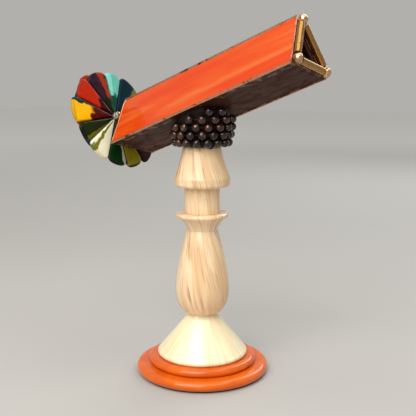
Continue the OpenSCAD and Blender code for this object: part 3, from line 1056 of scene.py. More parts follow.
@dataclass
class Pedestal:
    """The stand: felt, two round-edged discs and five turned pieces on a threaded rod.

    Heights and outer radii come from the frame; the fields are the smaller shapes.
    """

    palette: Palette
    bore: float = 5.2 * MM
    waist: float = 12.25 * MM
    joint_r: float = 13.25 * MM
    soften: float = 0.35 * MM
    step: float = 1.4 * MM
    around: int = 168
    unevenness: float = 0.05 * MM

    def span(self, node: str) -> tuple[float, float, float]:
        """Outer radius, foot and top of a frame node."""
        low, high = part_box(node)
        return float(high[0]), float(low[2]), float(high[2])

    def turn(self, node: str, outer: list[Pair], look: Look, seed: int, soft: float | None = None) -> None:
        """Turns one piece of the stack.

        Args:
            node: the frame node that it stands for.
            outer: its outside, as (radius, height) from foot to top.
            look: its finish and slot.
            seed: fixes its unevenness.
            soft: how far back its corners are rounded.
        """
        outline = [(self.bore, outer[0][1]), *outer, (self.bore, outer[-1][1])]
        profile = rounded(outline, self.soften if soft is None else soft, self.step)
        lathe(profile, self.around, self.unevenness, seed).make(
            node + "_turned", look, (node,), 50.0, "stand")

    @staticmethod
    def arc(cx: float, cz: float, rx: float, rz: float, a0: float, a1: float, n: int) -> list[Pair]:
        """Points of an elliptic arc about (cx, cz), its angles in degrees."""
        a = np.radians(np.linspace(a0, a1, n + 1))
        return list(zip(cx + rx * np.cos(a), cz + rz * np.sin(a)))

    def build(self) -> None:
        """Builds every piece of the stand."""
        self.felt()
        for node, seed in (("base_disc", 11), ("step_disc", 12)):
            r, z0, z1 = self.span(node)
            h = (z1 - z0) / 2
            self.turn(node, self.arc(r - h, z0 + h, h, h, -90, 90, 22), self.palette.base_glass, seed, 0.0)
        self.foot_cone()
        self.baluster()
        self.dish()
        r, z0, z1 = self.span("neck_column")
        self.turn("neck_column", [(r, z0), (r, z1)], self.palette.stone, 24)
        self.capital()

    def felt(self) -> None:
        """The felt: a disc with softened edges."""
        r, z0, z1 = self.span("felt_pad")
        inner, soft = 1 * MM, 0.3 * MM
        edge = rounded([(inner, z0), (r, z0), (r, z1), (inner, z1)], [0, soft, soft, 0], 2 * MM)
        keep = edge[edge[:, 0] > 0.9 * inner]
        order = np.argsort(np.where(keep[:, 1] < (z0 + z1) / 2, keep[:, 0], 10 - keep[:, 0]))
        lathe(keep[order], self.around, closed=False).make(
            "felt_disc", self.palette.felt, ("felt_pad",), body="stand")

    def foot_cone(self) -> None:
        """Straight flanks over a rounded rim, and a small fillet into the waist."""
        r, z0, z1 = self.span("foot_cone")
        rim = 2.5 * MM
        outer = [(r - rim, z0), *self.arc(r - rim, z0 + rim, rim, rim, -80, 42, 12),
                 (r - 2.2 * MM, z0 + 6 * MM), (self.waist + 1.7 * MM, z1 - 3 * MM),
                 (self.waist + 0.4 * MM, z1 - 1.2 * MM), (self.waist, z1)]
        self.turn("foot_cone", outer, self.palette.pale_stone, 21, 0.8 * MM)

    def baluster(self) -> None:
        """A bulb that is widest low down, then a long easing taper."""
        r, z0, z1 = self.span("baluster")
        belly = 0.3 * (z1 - z0)
        t = np.linspace(0, 1, 25)[1:]
        taper = zip(r - (r - self.joint_r) * t**1.55, z0 + belly + (z1 - z0 - belly) * t)
        bulb = self.arc(self.waist, z0 + belly, r - self.waist, belly, -84, 0, 20)
        self.turn("baluster", [(self.waist, z0), *bulb, *taper], self.palette.stone, 22)

    def dish(self) -> None:
        """An ogee that flares to a rounded rim."""
        r, z0, z1 = self.span("dish_collar")
        foot, rim = self.joint_r, 2 * MM
        t = np.linspace(0, 6 / 7, 13)
        flare = zip(foot + (r - rim - foot) * (0.35 * t + 0.65 * t**2), z0 + (z1 - z0 - 2 * rim) * t)
        lip = self.arc(r - rim, z1 - rim, rim, rim, -60, 90, 14)
        self.turn("dish_collar", [*flare, *lip], self.palette.stone, 23, 0.25 * MM)

    def capital(self) -> None:
        """A bell: a rounded rim and a long hollow curve up to the top."""
        r, z0, z1 = self.span("capital")
        top, rim = 16.5 * MM, 3.2 * MM
        low = 2.4 * rim
        t = np.linspace(0, 1, 25)
        bell = zip(top + (r - top) * (1 - t) ** 1.35, z0 + low + (z1 - z0 - low) * t)
        outer = [(r - rim, z0), *self.arc(r - rim, z0 + rim, rim, rim, -74, 0, 10), *bell]
        self.turn("capital", outer, self.palette.stone, 25)


# ---------------------------------------------------------------- the bead collar


@dataclass
class BeadCollar:
    """Rows of drilled beads on wires round a dark drum, and the solder under the tube.

    The first three frame nodes are one row each; the last one holds every row above them.
    """

    palette: Palette
    tube: TubeAxes
    nodes: dict[str, Piece]
    rows: tuple[str, ...] = ("bead_row_1", "bead_row_2", "bead_row_3", "bead_rows_top")
    most_rows: int = 6
    squash: float = 0.97
    hole: float = 0.75 * MM
    wire: float = 0.45 * MM
    lean: float = 0.12
    smallest: float = 0.975

    def bead(self, size: float) -> np.ndarray:
        """One drilled bead with its hole along X: a closed ring of sections round the hole.

        The section is a slightly squashed circle whose ends dip into the hole.

        Args:
            size: the bead's diameter.

        Returns:
            A (rows, cols, 3) grid; its rows wrap through the hole.
        """
        r = size / 2
        dip = math.asin(self.hole / r)
        t = np.linspace(dip, math.pi - dip, 17)
        x = np.concatenate([-self.squash * r * np.cos(t), [0.45 * r, -0.45 * r]])[:, None]
        h = np.concatenate([r * np.sin(t) ** 0.96, [self.hole, self.hole]])[:, None]
        a = circle(24)
        return grid_of(x, h * np.cos(a), h * np.sin(a))

    def feet(self, node: str) -> np.ndarray:
        """The lowest points of a row: each lies right under a bead's middle.

        Args:
            node: the row's frame node.

        Returns:
            An (n, 3) array, in order round the drum.
        """
        pts = corners_of(self.nodes[node])
        low = pts[pts[:, 2] < pts[:, 2].min() + 0.02 * MM]
        return low[np.argsort(np.arctan2(low[:, 1], low[:, 0]))]

    def lattice(self) -> tuple[dict[str, list[np.ndarray]], int, float]:
        """Where the beads are: every row has as many places, half a step round from the row below.

        Returns:
            For each frame node, the middles of its beads row by row; the places in a row; a
            bead's diameter.
        """
        near = 0.3 * MM
        feet = [self.feet(node) for node in self.rows[:2]]
        steps = np.diff(np.arctan2(feet[0][:, 1], feet[0][:, 0]))
        count = int(round(TAU / steps[steps > 0.1].min()))
        size = float(np.ptp(corners_of(self.nodes[self.rows[0]])[:, 2]))
        start, above = (np.array([np.hypot(f[:, 0], f[:, 1]).mean(), f[:, 2].mean()]) for f in feet)
        found: dict[str, list[np.ndarray]] = {}
        for n in range(self.most_rows):
            node = self.rows[min(n, len(self.rows) - 1)]
            r, z = start + n * (above - start)
            low = polar(r, (np.arange(count) + n / 2) * TAU / count, z)
            off = np.linalg.norm(corners_of(self.nodes[node])[None] - low[:, None], axis=-1).min(axis=1)
            found.setdefault(node, []).append(low[off < near] + np.array([0, 0, size / 2]))
        return found, count, size

    def build(self) -> None:
        """Builds the bead rows, their wires and the solder."""
        rng = np.random.default_rng(5)
        found, count, size = self.lattice()
        base = self.bead(size * 0.99)
        for node, rows in found.items():
            shells = []
            for m in np.concatenate(rows):
                a = math.atan2(m[1], m[0]) + math.pi / 2 + rng.uniform(-self.lean, self.lean)
                tip = rng.uniform(-self.lean, self.lean)
                along = np.array([math.cos(a) * math.cos(tip), math.sin(a) * math.cos(tip), math.sin(tip)])
                out = np.array([math.sin(a), -math.cos(a), 0.0])
                turned = Axes(m, along, out, np.cross(along, out))
                shells.append(Shell.rings(turned.place(base * rng.uniform(self.smallest, 1.0)), True))
            Shell.join(shells).make(node + "_beads", self.palette.beads, (node,))
            wires = [self.wired(run, count) for row in rows for run in self.runs(row, count) if len(run) > 1]
            if wires:
                Shell.join(wires).make(node + "_wire", self.palette.dark_metal)
        self.solder_fillet()

    @staticmethod
    def runs(mids: np.ndarray, count: int) -> list[np.ndarray]:
        """Splits a row into runs of neighbouring beads.

        Args:
            mids: the middles of the row's beads.
            count: the places in a row.

        Returns:
            The runs, each in order round the drum. A whole row is one run.
        """
        if not len(mids):
            return []
        a = np.arctan2(mids[:, 1], mids[:, 0])
        mids, a = mids[np.argsort(a)], np.sort(a)
        breaks = np.flatnonzero(np.diff(np.append(a, a[0] + TAU)) > 1.5 * TAU / count)
        if not len(breaks):
            return [mids]
        shift = int(breaks[-1]) + 1
        cuts = [int(b) + 1 + len(mids) - shift for b in breaks[:-1]]
        return np.split(np.roll(mids, -shift, axis=0), cuts)

    def wired(self, mids: np.ndarray, count: int) -> Shell:
        """The wire through a run: round arcs from bead to bead, its ends tucked into the drum.

        Args:
            mids: the beads' middles, in order.
            count: the places in a row.

        Returns:
            The wire.
        """
        past, tuck = 0.1, 4 * MM
        a = np.unwrap(np.arctan2(mids[:, 1], mids[:, 0]))
        r = float(np.hypot(mids[:, 0], mids[:, 1]).mean())
        whole = len(mids) == count
        t = a[0] + circle(160) if whole else np.linspace(a[0], a[-1], 8 * len(mids))
        rad = np.full_like(t, r)
        if not whole:
            t = np.concatenate([[t[0] - past], t, [t[-1] + past]])
            rad = np.concatenate([[r - tuck], rad, [r - tuck]])
        return tube_along(polar(rad, t, mids[0, 2]), self.wire, whole, 10)

    def solder_fillet(self) -> None:
        """Lumpy solder where the drum meets the tube's underside, on the slanted cut's rim."""
        outside = 15 * MM
        drum = corners_of(self.nodes["bead_drum"])
        depth = (drum - self.tube.origin) @ self.tube.z
        rim = drum[depth < depth.min() + 0.05 * MM]
        rim = rim[np.hypot(rim[:, 0], rim[:, 1]) > outside]
        a = np.arctan2(rim[:, 1], rim[:, 0])
        order = np.argsort(a)
        t = circle(200) - math.pi
        path = np.stack([np.interp(t, a[order], rim[order, k], period=TAU) for k in range(3)], -1)
        thick = 1.2 * MM * (1 + 0.22 * waves(9, 5, t, low=2, high=11))
        path = path + 0.2 * MM * self.tube.z
        # painted shade: this solder under the tube gets the darkened copy of the copper patina
        tube_along(path, thick, True, 14).make("drum_solder", self.palette.under_patina)


# ---------------------------------------------------------------- the tube


@dataclass
class StainedTube:
    """Three glass strips framed in copper solder."""

    palette: Palette
    tube: TubeAxes
    side: float = 54 * MM
    glass: float = 3 * MM
    cut: float = 1.2 * MM
    lap: float = 0.55 * MM
    seam: float = 1.05 * MM

    @property
    def inradius(self) -> float:
        """Distance from the tube's middle to a glass face."""
        return self.side / (2 * ROOT3)

    def face_axes(self, k: int) -> Axes:
        """A face's frame: x along the tube, y across the face, z outwards.

        Args:
            k: 0 for the bottom, 1 for the front, 2 for the back.

        Returns:
            The frame, its origin in the middle of the glass face.
        """
        a = math.radians(-120 * k)
        out = -(math.cos(a) * self.tube.z - math.sin(a) * self.tube.y)
        return Axes(self.tube.origin + self.inradius * out, self.tube.x, np.cross(out, self.tube.x), out)

    def build(self) -> None:
        """Builds each face's glass, its solder frame and the three seams.

        A frame's four widths are those along the low-y side, the high-y side, the object end and
        the eyepiece end. The underside carries a band several times as wide along its front.
        """
        look = self.palette
        faces = (("bottom_panel", look.brown), ("front_panel", look.opal), ("back_panel", look.opal))
        for k, (node, glass) in enumerate(faces):
            self.panel(k, node, glass)
        # the underside's frame wears the copper patina darkened with painted shade
        frames = (("bottom_border", (3.0, 9.5, 3.2, 1.2), look.under_patina),
                  ("front_border", (1.0, 1.9, 0.8, 0.8), look.patina),
                  ("back_border", (1.9, 1.4, 0.8, 0.8), look.patina))
        for k, (name, widths, finish) in enumerate(frames):
            self.border(k, name, [w * MM for w in widths], finish)
        self.corners()

    def panel(self, k: int, node: str, look: Look) -> None:
        """One strip of rolled glass with mitred edges and a softly rippled outer face.

        Args:
            k: which face.
            node: the frame node.
            look: its finish and slot.
        """
        half = self.side / 2 - self.cut
        deep = half - self.glass * ROOT3
        outline = [(-half, 0), (half, 0), (deep, -self.glass), (-deep, -self.glass)]
        y, z = rounded(outline, 0.25 * MM, 2 * MM, 4).T
        x = np.linspace(-self.tube.half, self.tube.half, 90)[:, None]
        ripple = 0.06 * MM * waves(30 + k, 7, x / (9 * MM), y / (5 * MM), low=1, high=3)
        z = z + np.where(z > -0.2 * MM, np.minimum(ripple - 0.08 * MM, 0.0), 0.0)
        Shell.rings(self.face_axes(k).place(grid_of(x, y, z)), False).make(
            node + "_glass", look, (node,), 40.0)

    def border(self, k: int, name: str, w: list[float], look: Look) -> None:
        """One face's solder frame: a low dome between the tube's edge and an uneven inner line.

        Args:
            k: which face.
            name: the piece's name.
            w: its four widths.
            look: its finish and slot.
        """
        hx, hy, n, top_rows, foot_rows = self.tube.half, self.side / 2, 720, 13, 3
        outer = self.walk((-hx, -hy), (hx, hy), 0.3 * MM, n)
        inner = self.walk((-hx + w[2], -hy + w[0]), (hx - w[3], hy - w[1]), 3.0 * MM, n)
        s = circle(n)
        low = np.clip(np.linalg.norm(outer - inner, axis=1) / (1.8 * MM), 0.25, 1)
        ragged = (1 + 0.05 * waves(50 + k, 7, s, low=9, high=60)
                  + 0.045 * waves(60 + k, 5, s, low=60, high=150))
        inner = outer + (inner - outer) * np.clip(ragged, 0.75, 1.12)[:, None]
        t = np.concatenate([np.linspace(0, 1, top_rows), np.linspace(1, 0, foot_rows)])
        top = np.sin(np.linspace(0.30 * math.pi, math.pi, top_rows))[:, None] ** 0.6
        across = np.linspace(0, 9, top_rows)[:, None]
        lump = ((1 + 0.16 * waves(70 + k, 6, s, low=20, high=90))
                * (1 + 0.1 * waves(80 + k, 6, s, across, low=8, high=40)))
        rise = self.lap * low * top * lump - 0.04 * MM
        height = np.concatenate([rise, np.full((foot_rows, n), -0.35 * MM)])
        flat = outer + (inner - outer) * t[:, None, None]
        Shell.rings(self.face_axes(k).place(grid_of(flat[..., 0], flat[..., 1], height)), True).make(
            name, look, crease=60.0)

    @staticmethod
    def walk(low: Pair, high: Pair, radius: float, n: int) -> np.ndarray:
        """A rounded rectangle cut into n points whose places match side by side on any size.

        Args:
            low: its lowest corner.
            high: its highest corner.
            radius: the corners' radius.
            n: number of points.

        Returns:
            An (n, 2) array.
        """
        pts = np.array([low, (high[0], low[1]), high, (low[0], high[1])])
        shares = (0.44, 0.06, 0.44, 0.06)
        line = np.concatenate([stepped(pts[k], pts[(k + 1) % 4], round(share * n))
                               for k, share in enumerate(shares)])
        centre, half = (pts[0] + pts[2]) / 2, np.abs(pts[2] - pts[0]) / 2
        d = line - centre
        over = np.maximum(np.abs(d) - (half - radius), 0)
        far = np.linalg.norm(over, axis=1)
        shrink = np.where((over[:, 0] > 0) & (over[:, 1] > 0), radius / np.maximum(far, 1e-9), 1.0)
        over = over * np.minimum(shrink, 1.0)[:, None]
        return centre + np.sign(d) * (np.minimum(np.abs(d), half - radius) + over)

    def corners(self) -> None:
        """Round solder beads along the three long edges, uneven like hand work."""
        sunk = 0.55 * MM
        places = {"back_seam": (self.side / 2, -self.inradius),
                  "front_seam": (-self.side / 2, -self.inradius),
                  "apex_seam": (0.0, 2 * self.inradius)}
        u = np.linspace(-self.tube.half, self.tube.half, 420)
        for seed, (node, (y, z)) in enumerate(places.items()):
            inward = 1 - sunk / math.hypot(y, z)
            slow = 0.07 * waves(90 + seed, 6, u / (2.2 * MM), low=1, high=4)
            quick = 0.05 * waves(95 + seed, 4, u / (0.9 * MM), low=1, high=3)
            path = self.tube.place(grid_of(u, y * inward, z * inward))
            tube_along(path, self.seam * (1 + slow + quick), False, 16).make(
                node + "_solder", self.palette.patina, (node,))


def triangle_walk(side: float, radius: float, n: int) -> np.ndarray:
    """An upright rounded triangle cut into n points that match between any two sizes.

    Each third runs along one side; a point near a corner is pulled onto a circle that
    touches both sides.

    Args:
        side: its side before rounding.
        radius: the corners' radius.
        n: number of points, a multiple of 3.

    Returns:
        An (n, 2) array, centred on the triangle's middle.
    """
    high = side / ROOT3
    tips = np.array([[0.0, high], [-side / 2, -high / 2], [side / 2, -high / 2]])
    even = (np.arange(n // 3) + 0.5) / (n // 3)
    s = 0.5 * (1 - np.cos(np.pi * even)) / 2 + 0.5 * even
    line = np.concatenate([tips[k] + (tips[(k + 1) % 3] - tips[k]) * s[:, None] for k in range(3)])
    for tip in tips:
        centre = tip - 2 * radius * tip / np.linalg.norm(tip)
        d = line - centre
        near = (np.linalg.norm(line - tip, axis=1) < radius * ROOT3) & (radius > 0)
        far = np.linalg.norm(d, axis=1, keepdims=True)
        line = np.where(near[:, None], centre + d / far * radius, line)
    return line


@dataclass
class TubeEnds:
    """The tube's two end plates, the brass rods round the eyepiece and their solder balls.

    plate_across and plate_top are the section of a plate: the share of the way from its outer
    edge to its hole, and the height there. lumps gives, for the apex, front and back corner, each
    lump's offset and radius in millimetres.
    """

    palette: Palette
    tube: TubeAxes
    side: float = 54 * MM
    plate: float = 2 * MM
    inner_side: float = 43.0 * MM
    inner_round: float = 2.0 * MM
    eye_hole: float = 25 * MM
    object_hole: float = 27 * MM
    rod: float = 3.05 * MM
    rod_side: float = 44.65 * MM
    rod_back: float = 5.3 * MM
    rod_out: float = 3.1 * MM
    ball_out: float = 4.0 * MM
    ball_from_axis: float = 25.78 * MM
    plate_across: tuple = (0.0, 0.0, 0.03, 0.1, 0.25, 0.45, 0.65, 0.82, 0.93, 0.98, 1.0, 1.0, 0.6, 0.3)
    plate_top: tuple = (0.1, 0.75, 0.96, 1.0, 1.0, 0.98, 1.0, 1.0, 0.92, 0.75, 0.5, 0.04, 0.02, 0.02)
    lumps: tuple = (((0.0, 0.0, 0.0, 3.9), (-1.2, 2.6, -1.4, 2.6)),
                    ((0.0, 0.0, 0.0, 3.7), (0.9, 1.2, 1.4, 2.6), (-0.8, 2.0, -1.2, 2.8)),
                    ((0.0, 0.0, 0.0, 3.4), (-0.6, -1.2, 2.2, 2.9), (-1.0, -0.2, -1.6, 2.9)))

    def build(self) -> None:
        """Builds both ends."""
        n, back, look = 360, self.tube.half, self.palette
        outside = triangle_walk(self.side - 0.2 * MM, 0.8 * MM, n)
        inside = triangle_walk(self.inner_side, self.inner_round, n)
        eye, hole = (triangle_walk(s, 0.6 * MM, n) for s in (self.eye_hole, self.object_hole))
        skin = triangle_walk(self.inner_side - 3 * MM, 1 * MM, n)
        self.ring(1.0, back - self.plate, self.plate, inside, eye, 41).make(
            "eyepiece_frame_tinned", look.frame_metal, ("eyepiece_frame",), 60.0)
        self.ring(-1.0, back, self.plate, outside, hole, 42).make(
            "object_frame_tinned", look.frame_metal, ("object_frame",), 60.0)
        self.ring(1.0, back - 0.15 * MM, 0.5 * MM, outside, skin, 43).make(
            "eyepiece_end_solder", look.patina, crease=60.0)
        self.rods()
        self.balls()

    def ring(self, way: float, start: float, thick: float, outer: np.ndarray, inner: np.ndarray,
             seed: int) -> Shell:
        """A triangular plate with a triangular hole, or a skin of solder over the glass ends.

        Args:
            way: +1 for the eyepiece end, -1 for the object end.
            start: how far along that way its inner face lies.
            thick: its thickness.
            outer: its outer outline.
            inner: its hole's outline.
            seed: fixes its unevenness.

        Returns:
            The plate.
        """
        t, top = np.array(self.plate_across)[:, None], np.array(self.plate_top)[:, None]
        lump = 0.08 * thick * waves(seed, 7, circle(len(outer)), 9 * t, low=3, high=14)
        rise = 0.87 * thick * top + lump * (top > 0.6)
        flat = outer + (inner - outer) * t[..., None]
        u = way * (start + np.maximum(rise, 0.02 * MM))
        return Shell.rings(self.tube.place(grid_of(u, flat[..., 0], flat[..., 1])), True)

    def rods(self) -> None:
        """Three brass rods round the eyepiece, one along each side of the end."""
        from_axis = self.rod_side / (2 * ROOT3)
        half = self.rod_side / 2 - self.rod_back
        s = np.linspace(-half, half, 60)
        for k, node in enumerate(("bottom_trim", "front_trim", "back_trim")):
            a = math.radians(-120 * k)
            out = np.array([0.0, math.sin(a), -math.cos(a)])
            along = np.array([0.0, math.cos(a), math.sin(a)])
            sway = 0.12 * MM * waves(60 + k, 4, s / (9 * MM), low=1, high=2)[:, None]
            middle = np.array([self.tube.half + self.rod_out, 0, 0]) + from_axis * out
            thick = self.rod * (1 - 0.03 + 0.03 * waves(65 + k, 4, s / (6 * MM), low=1, high=3))
            path = self.tube.place(middle + s[:, None] * along + sway * out)
            tube_along(path, thick, False, 28).make(node + "_rod", self.palette.brass, (node,), 50.0)

    def balls(self) -> None:
        """Solder balls at the three corners, each a few lumps melted together."""
        parts = []
        for k, group in enumerate(self.lumps):
            a = math.radians(120 * k)
            base = np.array([self.tube.half + self.ball_out, -self.ball_from_axis * math.sin(a),
                             self.ball_from_axis * math.cos(a)])
            for j, (*offset, r) in enumerate(group):
                parts.append(lump_ball(self.tube.place(base + np.array(offset) * MM), r * MM, 70 + 5 * k + j))
        Shell.join(parts).make("eyepiece_solder_balls", self.palette.solder, ("eyepiece_balls",))


# ---------------------------------------------------------------- the wheels


@dataclass
class FusedWheel:
    """One wheel: kiln-fused petals on a clear disc, turning on a brass hub."""

    palette: Palette
    axle: Axes
    name: str
    out: float
    turn: float
    petals: list[tuple[float, float, float, Hue, str]]
    thick: float = 3.6 * MM
    petal_out: float = 1.2 * MM
    hub_r: float = 3.5 * MM
    hub_len: float = 7.2 * MM
    axle_r: float = 1.6 * MM
    gap: float = 0.3 * MM
    tip_round: float = 27 * MM
    corner: float = 5.5 * MM
    dome: float = 0.35 * MM

    @property
    def body(self) -> str:
        """The body that the wheel rides on."""
        return self.name + "_wheel"

    def build(self) -> None:
        """Builds the petals and the hub."""
        for k, (start, end, tip, hue, node) in enumerate(self.petals):
            self.petal(k, start, end, tip * MM, hue, node)
        self.hub()

    def outline(self, half: float, tip: float) -> np.ndarray:
        """A petal's outline, pointing along X: straight sides, a round tip and soft corners.

        Args:
            half: half of its angle, in radians.
            tip: its tip's distance from the axle.

        Returns:
            An (n, 2) array of points.
        """
        a = self.gap / 2 / math.sin(half)
        r_in = self.hub_r + 0.2 * MM
        centre = tip - self.tip_round
        b, c = (a - centre) * math.cos(half), (a - centre) ** 2 - self.tip_round**2
        far = -b + math.sqrt(b * b - c)
        near = math.sqrt(max(r_in**2 - (a * math.sin(half)) ** 2, 0)) - a * math.cos(half)
        way = np.array([math.cos(half), math.sin(half)])
        foot, corner = (np.array([a, 0.0]) + d * way for d in (near, far))
        before = corner - self.corner * way
        edge = math.atan2(corner[1], corner[0] - centre) - self.corner / self.tip_round
        sweep = np.linspace(-edge, edge, 15)
        arc = np.stack([centre + self.tip_round * np.cos(sweep), self.tip_round * np.sin(sweep)], -1)
        t = np.linspace(0, 1, 8)[:-1, None]
        bend = t**2 * before + 2 * t * (1 - t) * corner + (1 - t) ** 2 * arc[-1]
        upper = np.concatenate([bend, before[None], foot[None]])
        pts = np.concatenate([upper[::-1] * (1.0, -1.0), arc[1:-1], upper])
        radii = np.where(np.isin(np.arange(len(pts)), (0, len(pts) - 1)), 0.9 * MM, 0.0)
        return rounded(list(pts), radii, 1.0 * MM, 8)

    def petal(self, k: int, start: float, end: float, tip: float, hue: Hue, node: str) -> None:
        """One petal: a pillow of glass, its thickness a quarter circle of the way in from its edge.

        Args:
            k: its place in the wheel.
            start: the angle that it starts at, in degrees.
            end: the angle that it ends at.
            tip: its tip's distance from the axle.
            hue: its glass.
            node: the frame node that it stands for.
        """
        half, mid = math.radians(end - start) / 2, math.radians((start + end) / 2 + self.turn)
        line = self.outline(half, tip)
        centre = np.array([0.6 * tip, 0.0])
        soft = self.thick / 2
        quarter = np.radians(np.linspace(0, 90, 8))
        edge = 1 - 1.25 * soft * (1 - np.cos(quarter))[:, None] / np.linalg.norm(centre - line, axis=1)
        inner = np.array([0.06, 0.3, 0.52, 0.7, 0.82])[:, None] * np.ones(len(line))
        flat = centre + (line - centre) * np.concatenate([inner, edge[::-1]])[..., None]
        deep = self.depth(flat.reshape(-1, 2), line).reshape(flat.shape[:2])
        rise = soft * np.sqrt(np.clip(1 - (1 - np.minimum(deep / soft, 1)) ** 2, 0, 1))
        bulge = self.dome * np.sqrt(np.clip(deep / (6 * MM), 0, 1))
        x, y = flat[..., 0] / (4 * MM), flat[..., 1] / (4 * MM)
        ripple = 0.12 * MM * waves(200 + 11 * k, 6, x, y, low=1, high=2)
        front = -rise - bulge - ripple * np.clip(deep / (3 * MM), 0, 1)
        flat = np.concatenate([flat, flat[::-1][1:]])
        z = np.concatenate([front, rise[::-1][1:]]) + self.out + self.petal_out + soft
        angle = np.arctan2(flat[..., 1], flat[..., 0])
        radius = np.linalg.norm(flat, axis=-1)
        grain = np.stack([radius / tip, 0.5 + angle / (2 * half)], -1)
        look = Look(node.split("_")[1] + "_glass", self.palette.petals[hue])
        Shell.rings(self.axle.place(polar(radius, angle + mid, z)), False, grain).make(
            f"{self.name}_petal_{k + 1}_{hue.name.lower()}", look, (node,), 50.0, self.body)

    @staticmethod
    def depth(points: np.ndarray, line: np.ndarray) -> np.ndarray:
        """How far points are from the nearest side of a closed outline.

        Args:
            points: (n, 2) points.
            line: (m, 2) corners of the outline.

        Returns:
            The n distances.
        """
        from_start = points[:, None] - line
        side = np.roll(line, -1, axis=0) - line
        t = np.clip((from_start * side).sum(-1) / np.maximum((side**2).sum(-1), 1e-12), 0, 1)
        return np.linalg.norm(from_start - t[..., None] * side, axis=-1).min(axis=1)

    def hub(self) -> None:
        """The hub: a turned brass collar with a groove at each end."""
        r, h, b = self.hub_r, self.hub_len, self.axle_r + 0.12 * MM
        low = r - 0.35 * MM
        pts = [(b, 0), (r, 0), (r, 0.9 * MM), (low, 1.05 * MM), (low, h - 1.2 * MM), (r, h - 1.0 * MM),
               (r, h - 0.1 * MM), (b, h - 0.1 * MM)]
        profile = rounded(pts, 0.15 * MM, 1 * MM, 4) + (0, self.out + 0.05 * MM)
        lathe(profile, 56).placed(self.axle).make(
            self.name + "_hub_turned", self.palette.tin, (self.name + "_hub",), body=self.body)


@dataclass
class AxleWork:
    """What holds the wheels on: the axle, its solder, collar, spacer and end cap."""

    palette: Palette
    axle: Axes
    nodes: dict[str, Piece]
    axle_r: float = 1.6 * MM
    ring_r: float = 3.4 * MM
    play: float = 0.02 * MM
    mound: tuple = ((0.0, 0.0, 2.1), (1.5, 0.8, 1.5), (-1.3, 1.2, 1.4), (-0.4, -1.6, 1.3))

    def turned(self, name: str, node: str, inner: float, outer: float, look: Look, soft: float) -> None:
        """A small lathe-turned ring or rod on the axle, as long as its frame node.

        Args:
            name: the piece's name.
            node: the frame node that it stands for.
            inner: its inner radius.
            outer: its outer radius.
            look: its finish and slot.
            soft: how far back its corners are rounded.
        """
        low, high = reach(self.axle, self.nodes[node])
        if node == "wheel_axle":
            low = 0.0
        profile = rounded([(inner, low), (outer, low), (outer, high), (inner, high)], soft, 1 * MM, 5)
        lathe(profile, 48).placed(self.axle).make(name, look, (node,), 45.0)

    def build(self) -> None:
        """Builds the small turned pieces, the solder mound and the end cap."""
        r, look = self.axle_r, self.palette
        self.turned("axle_rod", "wheel_axle", self.play, r, look.brass, 0.1 * MM)
        for node, finish in (("inner_collar", look.tin), ("wheel_spacer", look.brass)):
            self.turned(node + "_soft", node, r + self.play, self.ring_r, finish, 0.25 * MM)
        mound = [lump_ball(self.axle.place(np.array([x, y, 0.7]) * MM), size * MM, 130 + k, 0.09, 0.8)
                 for k, (x, y, size) in enumerate(self.mound)]
        Shell.join(mound).make("axle_solder_mound", look.solder, ("axle_solder",))
        low, high = reach(self.axle, self.nodes["axle_cap"])
        middle = self.axle.place(np.array([0, 0, (low + high) / 2]))
        lump_ball(middle, (high - low) / 2 * 0.99, 140, 0.02).make("axle_cap_ball", look.brass, ("axle_cap",))


# ---------------------------------------------------------------- the studio


